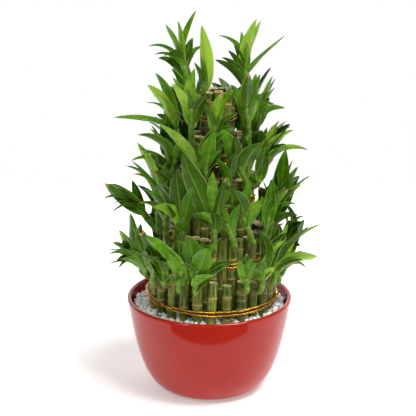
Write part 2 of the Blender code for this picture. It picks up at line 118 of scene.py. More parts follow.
def put(name, points, faces, finishes, slot, stands_for=(), sharp=50, finish_of=None, **fields):
    """One piece from points in mm and faces; fields hold four values for each point.

    Points that fall together are merged, so seams and poles close, and faces turn outwards. Edges
    sharper than sharp, in degrees, stay crisp. finish_of picks a finish for each face.
    """
    mesh = bpy.data.meshes.new(name)
    mesh.from_pydata((points * MM).tolist(), [], faces.tolist())
    for finish in finishes:
        mesh.materials.append(finish)
    if finish_of is not None:
        mesh.polygons.foreach_set("material_index", finish_of.astype("i4"))
    for label, values in fields.items():
        held = mesh.attributes.new(label, "FLOAT_COLOR", "POINT")
        held.data.foreach_set("color", values.astype("f4").ravel())
    bm = bmesh.new()
    bm.from_mesh(mesh)
    bmesh.ops.remove_doubles(bm, verts=bm.verts, dist=0.000001)
    bmesh.ops.recalc_face_normals(bm, faces=bm.faces)
    bm.to_mesh(mesh)
    bm.free()
    mesh.polygons.foreach_set("use_smooth", np.ones(len(mesh.polygons), bool))
    mesh.set_sharp_from_angle(angle=math.radians(sharp))
    piece = in_scene(name, mesh)
    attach(piece, "root")
    if stands_for:
        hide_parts(*stands_for)


# Red glaze on stoneware: glassy and smooth, with a deep and a lighter red 22 mm apart where it
# pooled, and slow ripples 9 mm long that bend what it mirrors
red_glaze, tree, shader, where, _ = mottled("red_stoneware_glaze", 22, 3.0, "#a32015", "#ad291c")
ripple = add(tree, "ShaderNodeTexNoise", {"Vector": where, "Scale": 1 / (9 * MM), "Detail": 1.0})
swell = add(tree, "ShaderNodeBump", {"Height": ripple["Fac"], "Strength": 0.12, "Distance": 0.3 * MM})
set_inputs(tree, shader, {
    "Roughness": 0.09, "IOR": 1.5, "Specular IOR Level": 0.32, "Normal": swell["Normal"],
})

# Fired stoneware, bare on the foot: a dry buff clay with grit about 1 mm across
bare_clay, tree, shader, _, _ = mottled("bare_stoneware", 1.2, 4.0, "#a98866", "#cbb192")
set_inputs(tree, shader, {"Roughness": 0.85})

BOWL_HEIGHT = 108.5
BOWL_WALL = 4.8
BOWL_FOOT = 54
BOWL_FLARE = 10.6
BOWL_CURL = 4.1
BOWL_DRAFT = 0.055
LIP_RISE = 2.4
WALL_ROWS = 44
CROWDING = 1.6
LIP_ROWS = 13
INNER_ROWS = 24
AROUND_BOWL = 144
GLAZE_STARTS = 1.5  # what lies lower is bare clay
# Radius and height of the hollow under the foot and its ring, and of the floor inside
UNDERSIDE = ((0, 1.4), (44, 1.4), (46, 0.4), (47.5, 0.0), (52.5, 0.0), (54.6, 0.4))
INSIDE_FLOOR = ((62, 8.4), (54, 6.4), (0, 6.2))


def bowl_radius(z):
    """The outer wall: the foot's radius, plus a flare by the logarithm of the height, plus draft."""
    return BOWL_FOOT + BOWL_FLARE * np.log(1 + z / BOWL_CURL) + BOWL_DRAFT * z


# The profile goes out over the foot ring and up the outer wall, in rows that crowd together low
# down where it curves most. Then it goes round half an ellipse for the lip, and down inside.
climb = np.linspace(0, 1, WALL_ROWS) ** CROWDING * (BOWL_HEIGHT - 4.2) + 1.2
descent = np.linspace(BOWL_HEIGHT - 2.6, 13, INNER_ROWS)
lip = np.linspace(-0.35, math.pi + 0.15, LIP_ROWS)
lip_radius = bowl_radius(BOWL_HEIGHT - LIP_RISE) - BOWL_WALL / 2 + BOWL_WALL / 2 * np.cos(lip)
profile = np.concatenate([
    UNDERSIDE,
    np.stack([bowl_radius(climb), climb], axis=1),
    np.stack([lip_radius, BOWL_HEIGHT - LIP_RISE + LIP_RISE * np.sin(lip)], axis=1),
    np.stack([bowl_radius(descent) - BOWL_WALL, descent], axis=1),
    INSIDE_FLOOR,
])
turn = np.linspace(0, 2 * math.pi, AROUND_BOWL, endpoint=False)
points = np.stack([
    profile[:, :1] * np.cos(turn), profile[:, :1] * np.sin(turn),
    np.broadcast_to(profile[:, 1:], (len(profile), AROUND_BOWL)),
], axis=2).reshape(-1, 3)
faces = ring_faces(len(profile), AROUND_BOWL)
under = points[faces][:, :, 2].max(axis=1) < GLAZE_STARTS
put("bowl", points, faces, [red_glaze, bare_clay], "glaze", ["pot"], finish_of=under)

# ---------------------------------------------------------------------------- stone chips
# Crushed white marble, sharp-edged chips mostly 5 to 10 mm across, poured round the canes as a
# deep loose bed. They lie at all angles and leave dark gaps.
LEAN = math.radians(1.6)  # of the whole bundle of canes, towards +X
BED_TOP = 101.0
CHIP_SHAPES = 7
CHIP_CORNERS = 13
CHIP_COUNT = 1700
CHIP_SPREAD = 87.0
CHIP_RADII = (2.7, 4.6)
CHIP_SQUASH = (0.7, 1.25)
CHIP_STRAY = (1.6, 1.6, 1.1)
CHIP_LAYERS = 3
LAYER_DROP = 3.2
BANK = 1.6  # how far the bed climbs at the wall of the bowl
UNSEEN_WITHIN = 52  # chips this near the axis are hidden by the canes and left out
OUTER_RING = 68.0
OUTER_CANES = 26
CANE_RADIUS = 5.5


def leaned(points):
    """Turns points of the upright bundle about the Y axis, to where the bundle leans."""
    c, s = math.cos(LEAN), math.sin(LEAN)
    return points @ np.array(((c, 0, -s), (0, 1, 0), (s, 0, c)))


# White marble: broken faces with a sugary grain, drawn about 1 mm coarse so that it shows, clouds
# 5 mm across, and some chips a little greyer than others
marble, tree, shader = new_finish("crushed_white_marble")
where = add(tree, "ShaderNodeTexCoord", {})["Object"]
chip_field = add(tree, "ShaderNodeAttribute", {}, attribute_name="chip")
chip = add(tree, "ShaderNodeSeparateColor", {"Color": chip_field["Color"]})
veins = add(tree, "ShaderNodeTexNoise", {"Vector": where, "Scale": 1 / (5 * MM), "Detail": 4.0})
cloud = add(tree, "ShaderNodeMix", {0: veins["Fac"], 6: linear("#f6f7f7"), 7: linear("#ffffff")},
            data_type="RGBA")
cool = add(tree, "ShaderNodeMix", {0: chip["Red"], 6: linear("#eaecec"), 7: linear("#ffffff")},
           data_type="RGBA")
stone = add(tree, "ShaderNodeMix", {0: 0.75, 6: cloud[2], 7: cool[2]},
            data_type="RGBA", blend_type="MULTIPLY")
sugar = add(tree, "ShaderNodeTexNoise", {"Vector": where, "Scale": 1 / (0.9 * MM), "Detail": 3.0})
grain = add(tree, "ShaderNodeBump", {"Height": sugar["Fac"], "Strength": 0.5, "Distance": 0.25 * MM})
set_inputs(tree, shader, {
    "Base Color": stone[2], "Roughness": 0.55, "IOR": 1.6, "Normal": grain["Normal"],
})

rng = np.random.default_rng(41)
shapes = []
for _ in range(CHIP_SHAPES):
    bm = bmesh.new()
    for at in rng.normal(size=(CHIP_CORNERS, 3)):
        bm.verts.new(Vector(at).normalized() * rng.uniform(0.8, 1.1))
    bmesh.ops.convex_hull(bm, input=bm.verts)
    bmesh.ops.delete(bm, geom=[v for v in bm.verts if not v.link_faces], context="VERTS")
    bm.verts.index_update()
    corners = np.array([v.co for v in bm.verts])
    sides = np.array([[v.index for v in f.verts] for f in bm.faces])
    shapes.append((corners, sides))
    bm.free()


def turned_at_random(count, rng):
    """Rotation matrices from random unit quaternions."""
    w, x, y, z = rng.normal(size=(4, count))
    size = np.sqrt(w * w + x * x + y * y + z * z)
    w, x, y, z = w / size, x / size, y / size, z / size
    return np.stack([
        np.stack([1 - 2 * (y * y + z * z), 2 * (x * y - z * w), 2 * (x * z + y * w)], axis=1),
        np.stack([2 * (x * y + z * w), 1 - 2 * (x * x + z * z), 2 * (y * z - x * w)], axis=1),
        np.stack([2 * (x * z - y * w), 2 * (y * z + x * w), 1 - 2 * (x * x + y * y)], axis=1),
    ], axis=1)


# Evenly scattered places by the golden angle, in three layers, each a little lower
step = np.arange(CHIP_COUNT)
layer = step % CHIP_LAYERS
reach = np.sqrt((step + 0.5) / CHIP_COUNT) * CHIP_SPREAD
swing = step * math.pi * (3 - math.sqrt(5))
places = np.stack([reach * np.cos(swing), reach * np.sin(swing), BED_TOP - 1.2 - LAYER_DROP * layer], axis=1)
places += rng.uniform(-1, 1, (CHIP_COUNT, 3)) * CHIP_STRAY
places[:, 2] += BANK * np.clip((reach - 76) / 10, 0, 1) * rng.uniform(0, 1, CHIP_COUNT)
sizes = rng.uniform(*CHIP_RADII, CHIP_COUNT)
inside = np.hypot(places[:, 0], places[:, 1]) < bowl_radius(BED_TOP) - BOWL_WALL - 0.8 * sizes
keep = inside & (reach > UNSEEN_WITHIN)
cane_turn = np.radians(360 / OUTER_CANES * np.arange(OUTER_CANES))
cane_feet = leaned(np.stack([
    OUTER_RING * np.sin(cane_turn), -OUTER_RING * np.cos(cane_turn), np.full(OUTER_CANES, BED_TOP),
], axis=1))
gap = np.linalg.norm(places[:, None, :2] - cane_feet[None, :, :2], axis=2).min(axis=1)
keep &= gap > CANE_RADIUS - 1.0
for depth, name in enumerate(("chips_top", "chips_middle", "chips_low")):
    mine = keep & (layer == depth)
    all_points, all_faces, all_shades, count = [], [], [], 0
    chosen = rng.integers(0, CHIP_SHAPES, CHIP_COUNT)
    for kind, (corners, sides) in enumerate(shapes):
        which = np.flatnonzero(mine & (chosen == kind))
        squash = rng.uniform(*CHIP_SQUASH, (len(which), 1, 3)) * sizes[which, None, None]
        turned = np.einsum("nij,npj->npi", turned_at_random(len(which), rng), corners[None] * squash)
        all_points.append((turned + places[which, None]).reshape(-1, 3))
        starts = count + np.arange(len(which)) * len(corners)
        all_faces.append((sides[None] + starts[:, None, None]).reshape(-1, 3))
        tone = np.repeat(rng.uniform(0.35, 1.0, (len(which), 1)), len(corners), axis=0)
        all_shades.append(np.hstack([tone, tone, tone, np.ones_like(tone)]))
        count += len(which) * len(corners)
    put(name, np.concatenate(all_points), np.concatenate(all_faces), [marble], "chips", ["gravel_bed"],
        sharp=12, chip=np.concatenate(all_shades))

# ---------------------------------------------------------------------------- canes
# Cut lengths of lucky bamboo, Dracaena stems 10 to 12 mm thick with a raised leaf scar every
# 20 to 35 mm. Each is sawn off square above, and its end dries to a pale rim round soft pith.
CANE_SIDES = 14
CANE_THINNEST = 0.87  # the thinnest cane's radius, as a part of the thickest's
SCAR_GAPS = (19, 33)
MOST_SCARS = 14
AROUND_SCAR = np.array((-6, -2.6, -1.3, -0.5, 0.0, 0.5, 1.3, 2.6, 6))
ROWS_EVERY = 9.0
WAVER = 0.6
WAVERS_ABOVE = 60
SAW_SLOPE = 0.09
# Outermost tier first: the radius of its ring of canes, their number, the heights of their feet,
# cut tops and tie. The tops differ by up to UNEVEN either way.
TIERS = (
    (OUTER_RING, OUTER_CANES, 50, 145, 113), (51.5, 32, 26, 192, 162), (38.5, 24, 12, 255, 226),
    (25.6, 16, 12, 297, 270), (14.2, 9, 12, 347, 319),
)
UNEVEN = 2.5

# Cane skin: waxy olive green with darker lengthwise streaks, tan blotches, and at each scar a
# thin brown line in a pale tan band. The cut end is dry tan at its rim, greener and darker inside.
cane_skin, tree, shader = new_finish("dracaena_cane")
where = add(tree, "ShaderNodeTexCoord", {})["Object"]
along = add(tree, "ShaderNodeMapping", {"Vector": where, "Scale": (1.0, 1.0, 0.06)})
streaks = add(tree, "ShaderNodeTexNoise", {"Vector": along[0], "Scale": 1 / (1.1 * MM), "Detail": 3.0})
blotches = add(tree, "ShaderNodeTexNoise", {"Vector": where, "Scale": 1 / (7 * MM), "Detail": 4.0})
cane_field = add(tree, "ShaderNodeAttribute", {}, attribute_name="cane")
part = add(tree, "ShaderNodeSeparateColor", {"Color": cane_field["Color"]})
streak_part = add(tree, "ShaderNodeMapRange", {"Value": streaks["Fac"], 1: 0.35, 2: 0.65})
green = add(tree, "ShaderNodeMix", {0: part["Green"], 6: linear("#4a6a12"), 7: linear("#a0b446")},
            data_type="RGBA")
dark = add(tree, "ShaderNodeMix", {0: streak_part[0], 6: linear("#2c400a"), 7: green[2]}, data_type="RGBA")
blotch_part = add(tree, "ShaderNodeMapRange", {"Value": blotches["Fac"], 1: 0.5, 2: 0.78})
tan_part = add(tree, "ShaderNodeMath", {0: blotch_part[0], 1: 0.7}, operation="MULTIPLY")
# Red holds the height above the scar: 0.5 at it, and 0.05 more for each mm
near = add(tree, "ShaderNodeMath", {0: part["Red"], 1: 0.5}, operation="SUBTRACT")
away = add(tree, "ShaderNodeMath", {0: near[0]}, operation="ABSOLUTE")
ragged = add(tree, "ShaderNodeMath", {0: blotches["Fac"], 1: 0.09, 2: -0.045}, operation="MULTIPLY_ADD")
away_ragged = add(tree, "ShaderNodeMath", {0: away[0], 1: ragged[0]}, operation="ADD")
band = add(tree, "ShaderNodeMapRange", {"Value": away_ragged[0], 1: 0.05, 2: 0.16, 3: 1.0, 4: 0.0})
band_part = add(tree, "ShaderNodeMath", {0: band[0], 1: 0.72}, operation="MULTIPLY")
line = add(tree, "ShaderNodeMapRange", {"Value": away_ragged[0], 1: 0.008, 2: 0.04, 3: 1.0, 4: 0.0})
# Blue runs from 0 on the skin through 0.5 at the end's rim to 1 at its middle
to_rim = add(tree, "ShaderNodeMapRange", {"Value": part["Blue"], 1: 0.1, 2: 0.45})
to_pith = add(tree, "ShaderNodeMapRange", {"Value": part["Blue"], 1: 0.6, 2: 0.85})
skin = dark
for share, colour in ((tan_part, "#a08a42"), (band_part, "#b0a25e"), (line, "#6b4a22"),
                      (to_rim, "#c9b98a"), (to_pith, "#7c7a3c")):
    skin = add(tree, "ShaderNodeMix", {0: share[0], 6: skin[2], 7: linear(colour)}, data_type="RGBA")
relief = add(tree, "ShaderNodeMath", {0: streaks["Fac"], 1: 0.5, 2: blotches["Fac"]},
             operation="MULTIPLY_ADD")
ribs = add(tree, "ShaderNodeBump", {"Height": relief[0], "Strength": 0.45, "Distance": 0.3 * MM})
set_inputs(tree, shader, {
    "Base Color": skin[2], "Roughness": 0.42, "IOR": 1.45, "Specular IOR Level": 0.5,
    "Normal": ribs["Normal"],
})


def place(radius, azimuth, z):
    """The point at a distance from the axis, an azimuth and a height."""
    turn = math.radians(azimuth)
    return np.array((radius * math.sin(turn), -radius * math.cos(turn), z))


def cut_tops(tier):
    """The heights at which a tier's canes are sawn off."""
    _, count, _, top, _ = TIERS[tier]
    return top + UNEVEN * np.random.default_rng(10 + tier).uniform(-1, 1, count)


def ring_fields(rings, red, green, blue):
    """Four values for each point of some rings. Each is one number, or one by ring or by place."""
    return np.stack([np.broadcast_to(v, rings.shape[:2]) for v in (red, green, blue, 1.0)],
                    axis=2).reshape(-1, 4)


def cane(ring, azimuth, foot, top, rng):
    """Rings of points up one cane and their fields.

    Radius = its own thickness, swollen towards each scar by a wide bell, with a narrow bell for
    the ridge and a groove above it. The axis wavers by two slow sines. The last rings turn in
    over the cut end and sink to its pith, deep in one cane in four. The cut slopes a little.
    """
    scars = foot + rng.uniform(0, 22) + np.cumsum(rng.uniform(*SCAR_GAPS, MOST_SCARS))
    scars = scars[scars < top - 3]
    between = np.arange(foot, top - 1.2, ROWS_EVERY)
    heights = np.concatenate([(scars[:, None] + AROUND_SCAR).ravel(), between, [top - 1.0, top]])
    heights = np.unique(heights[(heights >= foot) & (heights <= top)])
    gap = heights[:, None] - scars[None]
    nearest = gap[np.arange(len(heights)), np.abs(gap).argmin(axis=1)]
    thick = CANE_RADIUS * rng.uniform(CANE_THINNEST, 1.0)
    radius = thick + 0.35 * np.exp(-(nearest / 5) ** 2) + 0.55 * np.exp(-(nearest / 0.9) ** 2)
    radius -= 0.4 * np.exp(-((nearest - 2.4) / 1.2) ** 2)
    radius[-1] -= 0.35
    turn = np.linspace(0, 2 * math.pi, CANE_SIDES, endpoint=False)
    oval = 1 + 0.03 * np.cos(2 * turn + rng.uniform(0, 6))
    waver = WAVER * np.sin(heights[:, None] / rng.uniform(22, 40, 2) + rng.uniform(0, 6, 2))
    waver = waver * (heights[:, None] > WAVERS_ABOVE)
    middle = place(ring, azimuth, 0)[:2] + waver

    def level(at, reach, height):
        """Level rings, as far from the points at as reach says, at a height."""
        x, y = at[:, :1] + reach * np.cos(turn), at[:, 1:] + reach * np.sin(turn)
        return np.stack([x, y, np.broadcast_to(height, x.shape)], axis=2)

    slope = rng.uniform(-SAW_SLOPE, SAW_SLOPE, 2)
    hollow = rng.uniform(0.3, 1.6) if rng.random() < 0.75 else rng.uniform(3, 5)
    # Inwards over the cut end: the part of the radius, how far it has sunk, and the blue field
    inner = ((0.86, 0.05, 0.5), (0.74, 0.35 * hollow, 0.62), (0.45, hollow, 0.9), (0.0, hollow * 1.05, 1.0))
    rings = np.concatenate(
        [level(middle[:1], 0.0, foot), level(middle, radius[:, None] * oval, heights[:, None])]
        + [level(middle[-1:], part * thick, top - sink) for part, sink, _ in inner])
    tilt = (rings[:, :, :2] - middle[-1]) @ slope
    rings[:, :, 2] += tilt * (rings[:, :, 2] > top - 8)
    above = np.concatenate([nearest[:1], nearest, np.full(len(inner), 8.0)])
    blue = np.concatenate([np.zeros(len(heights)), [0.35], [tint for _, _, tint in inner]])
    own = rng.uniform(0, 1)
    return rings, ring_fields(rings, np.clip(0.5 + above * 0.05, 0, 1)[:, None], own, blue[:, None])


def gathered(tubes):
    """Several tubes as one: their points, leaned, and their faces, which count on tube by tube."""
    firsts = np.concatenate([[0], np.cumsum([tube.shape[0] * tube.shape[1] for tube in tubes])[:-1]])
    faces = [ring_faces(*tube.shape[:2], first) for tube, first in zip(tubes, firsts)]
    return leaned(np.concatenate([tube.reshape(-1, 3) for tube in tubes])), np.concatenate(faces)


for tier, (ring, count, foot, top, _) in enumerate(TIERS):
    rng = np.random.default_rng(60 + tier)
    spots = [(ring, 360 * i / count, height) for i, height in enumerate(cut_tops(tier))]
    if tier == 4:
        spots.append((0.0, 0.0, top - 3))  # the heart cane, which the ring hides
    built = [cane(r, azimuth, foot, height, rng) for r, azimuth, height in spots]
    if tier == 0:
        for i, (rings, fields) in enumerate(built):
            node = f"tier_1_cane_{i + 1:02d}"
            put(f"outer_{node}", *gathered([rings]), [cane_skin], "cane", [node], cane=fields)
        continue
    tubes = [rings for rings, _ in built]
    put(f"ring_of_canes_{tier + 1}", *gathered(tubes), [cane_skin], "cane", [f"tier_{tier + 1}_canes"],
        cane=np.concatenate([fields for _, fields in built]))

# ---------------------------------------------------------------------------- ties
# Each tier is bound by two turns of gold foil wire, each a twisted pair, over a narrow dark red
# band that paints the red bowl's reflection in the wire. The turns cross at the left of the front
# and at the back, and two ends stand at the right.
WIRE_RADIUS = 0.62
WIRE_SIDES = 6
WIRE_STEP = 1.3
TWIST_RADIUS = 0.5
TWIST_PITCH = 5.2
TURN_OFFSET = 1.75  # each turn's height above or below the tie's
PAIR_OFF = 1.1  # the middle of each pair from the skin of the canes, and of the wire's ends
ENDS_OFF = 1.6
# Azimuths: the outermost tier's crossing and its knot, and how much further each next tier's is
CROSSING = -42
CROSSING_STEP = 8
KNOT = 72
KNOT_STEP = -6
BACK_CROSSING = 150
CROSSING_SPREAD = 9
WIRE_ENDS = ((2.5, 9.0), (4.0, 6.5))  # how far each leans out, and its length
END_POINTS = 14
# The section of the band of painted red reflection: how far out from the canes' skin, and how high about the
# tie
REFLECTION_BAND_SECTION = np.array(((0.15, -1.6), (0.75, -1.5), (0.75, 1.5), (0.15, 1.6), (0.15, -1.6)))

# Gold foil wire: thin foil with creases 1.6 mm apart. Its colour runs from dull to bright gold over
# the same creases, as painted glints on top of the light that the bumped creases catch.
gold_foil, tree, shader, _, crease_and_glint = mottled("gold_foil_wire", 1.6, 3.0, "#d68c12", "#ffdc5a")
fold = add(tree, "ShaderNodeBump", {"Height": crease_and_glint, "Strength": 0.6, "Distance": 0.3 * MM})
set_inputs(tree, shader, {"Metallic": 1.0, "Roughness": 0.24, "Normal": fold["Normal"]})

# Painted reflection: a dark red band under the turns stands in for the red bowl mirrored in the
# gold wire, and shows as a dull band between the bright turns. Its colour wanders in patches 0.8 mm across.
band_reflection_finish, tree, shader, _, _ = mottled("painted_red_reflection", 0.8, 2.0, "#4a1a0c", "#8a4a1c")
set_inputs(tree, shader, {"Roughness": 0.45})


def unit(vectors):
    """Vectors scaled to length 1."""
    return vectors / np.linalg.norm(vectors, axis=-1, keepdims=True)


def run_along(path):
    """The distance run along a path, at each of its points."""
    return np.concatenate([[0], np.cumsum(np.linalg.norm(np.diff(path, axis=0), axis=1))])


def closed(rings, path):
    """A tube's rings with one more at each end, which is drawn together on its path."""
    ends = [path[at, None].repeat(rings.shape[1], 1) for at in (slice(0, 1), slice(-1, None))]
    return np.concatenate([ends[0], rings, ends[1]])


def wire(path, sideways):
    """A round tube along a path: each ring lies across the path, from sideways and its cross."""
    forward = unit(np.gradient(path, axis=0))
    side = unit(sideways - np.sum(forward * sideways, axis=1)[:, None] * forward)
    other = np.cross(forward, side)
    turn = np.linspace(0, 2 * math.pi, WIRE_SIDES, endpoint=False)[None, :, None]
    rings = path[:, None] + WIRE_RADIUS * (np.cos(turn) * side[:, None] + np.sin(turn) * other[:, None])
    return closed(rings, path)


def twisted_pair(path, sideways):
    """Two wires that wind about a path, half a turn apart, once for each TWIST_PITCH."""
    other = np.cross(unit(np.gradient(path, axis=0)), sideways)
    pair = []
    for start in (0, math.pi):
        wind = (run_along(path) * 2 * math.pi / TWIST_PITCH + start)[:, None]
        pair.append(wire(path + TWIST_RADIUS * (np.cos(wind) * sideways + np.sin(wind) * other), sideways))
    return pair


for tier, (ring, count, _, _, tie) in enumerate(TIERS):
    rng = np.random.default_rng(80 + tier)
    around = int(2 * math.pi * ring / WIRE_STEP)
    azimuth = np.linspace(-180, 180, around)
    turn = np.radians(azimuth)
    out = np.stack([np.sin(turn), -np.cos(turn), np.zeros(around)], axis=1)
    upright = np.broadcast_to((0.0, 0.0, 1.0), (around, 3))
    past = (azimuth - CROSSING - CROSSING_STEP * tier) / CROSSING_SPREAD
    crossing = np.clip(past, -1, 1) * np.clip((BACK_CROSSING - azimuth) / CROSSING_SPREAD, -1, 1)
    tubes = []
    for side in (-1, 1):
        sag = 0.5 * np.sin(2 * turn + rng.uniform(0, 6)) + 0.25 * np.sin(9 * turn + side)
        height = tie + side * TURN_OFFSET * crossing + sag
        hug = ring + CANE_RADIUS + PAIR_OFF + 0.3 * np.cos(turn * count)
        hug = hug - 0.6 * side * np.exp(-past**2)
        tubes += twisted_pair(out * hug[:, None] + upright * height[:, None], upright)
    knot_out = place(1, KNOT + KNOT_STEP * tier, 0)
    knot_side = np.array((-knot_out[1], knot_out[0], 0.0))
    rise = np.linspace(0, 1, END_POINTS)[:, None]
    for lean_out, length in WIRE_ENDS:
        tail = knot_out * (ring + CANE_RADIUS + ENDS_OFF + lean_out * rise**2)
        tail = tail + knot_side * (2.5 * rise * (lean_out - 3)) + upright[:1] * (tie + length * rise)
        tubes += twisted_pair(tail, np.broadcast_to(knot_side, tail.shape))
    put(f"gold_tie_{tier + 1}", *gathered(tubes), [gold_foil], "wire", [f"tie_{tier + 1}"], sharp=80)
    # The band of painted red reflection, under the two turns
    reach = (ring + CANE_RADIUS + REFLECTION_BAND_SECTION[:, 0])[:, None]
    band = np.stack([out[:, 0] * reach, out[:, 1] * reach,
                     np.broadcast_to(tie + REFLECTION_BAND_SECTION[:, 1:], (len(reach), around))], axis=2)
    put(f"red_reflection_band_{tier + 1}", *gathered([band]), [band_reflection_finish], "wire", [f"tie_{tier + 1}"])

# ---------------------------------------------------------------------------- shoots
# Side shoots break from the canes below their cut tops. Each is a soft stem wrapped in pale leaf
# sheaths, one over another, with lance-shaped leaves mostly 30 to 60 mm long from its upper half.
SHOOT_BELOW_TOP = 9
STEM_COLLAR = 2.5
STEM_REACH = 8
STEM_RADIUS = 3.6
STEM_TIP_RADIUS = 2.4
STEM_POINTS = 22
STEM_SIDES = 10
SHEATH = 9.0  # the length of one sheath, which swells by SHEATH_SWELL to a mouth cut at a slant
SHEATH_SWELL = 0.55
SHEATH_SLANT = 2.6
SHEATH_TURN = 2.4  # radians from one slant to the next
BROWN_SCALE = 60
LEAF_ROWS = 15
LEAF_WIDEST_AT = 0.42
LEAF_FOOT = 0.35
LEAF_THICK = 0.35
LEAF_KEEL = 0.5
LEAF_FULLER = 1.25  # a blade in life is a little wider than its solid
LEAF_HANDLES = (0.33, 0.68)  # where along the leaf its spine's two handles lie
TO_STEM = 0.55  # how far the first handle follows the stem, and how far the straight line
TO_TIP = 0.45
BOW_LIFT = 1.6
LEAF_TWIST = 0.55
LEAF_FOLD = (0.2, 0.5)
FOOT_FOLD = 0.75
LEAF_DRIED = 0.08  # the share of leaves with a dried tip
LEAF_FACES = 0.25  # a leaf's face turns from the front by this part of its cane's azimuth
LEAVES_WITHIN = 0.7  # the part of the stem that the rows' places on it run over
STEM_USED = 0.98
SLIGHT_BOW = 0.2  # a bow of less than this is eased to 0.6 of it
EXTRA_LENGTH = (38, 58)
EXTRA_WIDTH = (0.2, 0.27)

# Leaf: satin green over paler parallel veins 0.6 mm apart, a pale midrib and paler margins, which
# also carry a painted highlight along the edges. New leaves are yellow-green, old ones deep green,
# and these tones carry painted light and shade too. Undersides are paler, a paler base spreads over
# the lower half as a painted highlight, and some tips have dried to tan.
leaf_skin, tree, shader = new_finish("dracaena_leaf")
where = add(tree, "ShaderNodeTexCoord", {})["Object"]
lay_field = add(tree, "ShaderNodeAttribute", {}, attribute_name="lay")
lay = add(tree, "ShaderNodeSeparateColor", {"Color": lay_field["Color"]})
age_field = add(tree, "ShaderNodeAttribute", {}, attribute_name="age")
age = add(tree, "ShaderNodeSeparateColor", {"Color": age_field["Color"]})
# Its red is how light the leaf is: how new it is, with painted light and shade as well, high for
# leaves in the light and low for those in shade within the plant. Its green is whether its tip has
# dried, and its blue is 1 on its upper face
mottle = add(tree, "ShaderNodeTexNoise", {"Vector": where, "Scale": 1 / (9 * MM), "Detail": 3.0})
spread = add(tree, "ShaderNodeMath", {0: age["Red"], 1: 1.5, 2: -0.32}, operation="MULTIPLY_ADD")
tone = add(tree, "ShaderNodeMath", {0: mottle["Fac"], 1: 0.8, 2: spread[0]}, operation="MULTIPLY_ADD")
old = add(tree, "ShaderNodeMapRange", {"Value": tone[0], 1: 0.25, 2: 0.75})
new = add(tree, "ShaderNodeMapRange", {"Value": tone[0], 1: 0.75, 2: 1.25})
deep = add(tree, "ShaderNodeMix", {0: old[0], 6: linear("#0c2900"), 7: linear("#488300")}, data_type="RGBA")
fresh = add(tree, "ShaderNodeMix", {0: new[0], 6: deep[2], 7: linear("#a4cc3e")}, data_type="RGBA")
# Red of lay runs across the leaf from 0 to 1, and green along it
vein_phase = add(tree, "ShaderNodeMath", {0: lay["Red"], 1: 120.0}, operation="MULTIPLY")
vein_wave = add(tree, "ShaderNodeMath", {0: vein_phase[0]}, operation="SINE")
vein = add(tree, "ShaderNodeMapRange", {"Value": vein_wave[0], 1: -0.2, 2: 1.0})
vein_part = add(tree, "ShaderNodeMath", {0: vein[0], 1: 0.2}, operation="MULTIPLY")
off = add(tree, "ShaderNodeMath", {0: lay["Red"], 1: 0.5}, operation="SUBTRACT")
off_middle = add(tree, "ShaderNodeMath", {0: off[0]}, operation="ABSOLUTE")[0]
midrib = add(tree, "ShaderNodeMapRange", {"Value": off_middle, 1: 0.01, 2: 0.06, 3: 0.3, 4: 0.0})
# Paler margins: partly the leaf's own colour, partly a painted highlight along the edges
margin_and_edge_highlight = add(tree, "ShaderNodeMapRange", {"Value": off_middle, 1: 0.42, 2: 0.49, 3: 0.0, 4: 0.4})
beneath = add(tree, "ShaderNodeMath", {0: 1.0, 1: age["Blue"]}, operation="SUBTRACT")
underside = add(tree, "ShaderNodeMath", {0: beneath[0], 1: 0.16}, operation="MULTIPLY")
# A paler base where the leaf clasps its stem, spread over the lower half of the blade as a painted highlight
pale_base_and_highlight = add(tree, "ShaderNodeMapRange", {"Value": lay["Green"], 1: 0.02, 2: 0.5, 3: 0.3, 4: 0.0})
dry_edge = add(tree, "ShaderNodeMath", {0: mottle["Fac"], 1: 0.16, 2: lay["Green"]}, operation="MULTIPLY_ADD")
dry = add(tree, "ShaderNodeMapRange", {"Value": dry_edge[0], 1: 0.96, 2: 1.02})
dry_tip = add(tree, "ShaderNodeMath", {0: dry[0], 1: age["Green"]}, operation="MULTIPLY")
skin = fresh
for share, colour in ((vein_part, "#7aac18"), (midrib, "#a6cc4e"), (margin_and_edge_highlight, "#b4d06a"),
                      (underside, "#6c9c2c"), (pale_base_and_highlight, "#8cbe30"), (dry_tip, "#b8945a")):
    skin = add(tree, "ShaderNodeMix", {0: share[0], 6: skin[2], 7: linear(colour)}, data_type="RGBA")
vein_relief = add(tree, "ShaderNodeBump", {"Height": vein_wave[0], "Strength": 0.25, "Distance": 0.12 * MM})
set_inputs(tree, shader, {
    "Base Color": skin[2], "Roughness": 0.24, "IOR": 1.45, "Specular IOR Level": 0.24,
    "Normal": vein_relief["Normal"],
})

# Sheath: pale waxy green with lengthwise veins 1 mm apart, paler towards each mouth. Green of lay
# runs along the stem, 1 for each BROWN_SCALE mm: the lowest sheaths have dried to brown.
sheath_skin, tree, shader = new_finish("leaf_sheath")
where = add(tree, "ShaderNodeTexCoord", {})["Object"]
lay_field = add(tree, "ShaderNodeAttribute", {}, attribute_name="lay")
lay = add(tree, "ShaderNodeSeparateColor", {"Color": lay_field["Color"]})
thread_phase = add(tree, "ShaderNodeMath", {0: lay["Red"], 1: 150.0}, operation="MULTIPLY")
thread = add(tree, "ShaderNodeMath", {0: thread_phase[0]}, operation="SINE")
thread_part = add(tree, "ShaderNodeMapRange", {"Value": thread[0], 1: -1.0, 2: 1.0})
striped = add(tree, "ShaderNodeMix", {0: thread_part[0], 6: linear("#416f14"), 7: linear("#6c9a2c")},
              data_type="RGBA")
pale = add(tree, "ShaderNodeMath", {0: lay["Blue"], 1: 0.7}, operation="MULTIPLY")
mouthed = add(tree, "ShaderNodeMix", {0: pale[0], 6: striped[2], 7: linear("#93b24e")}, data_type="RGBA")
fray = add(tree, "ShaderNodeTexNoise", {"Vector": where, "Scale": 1 / (3 * MM), "Detail": 2.0})
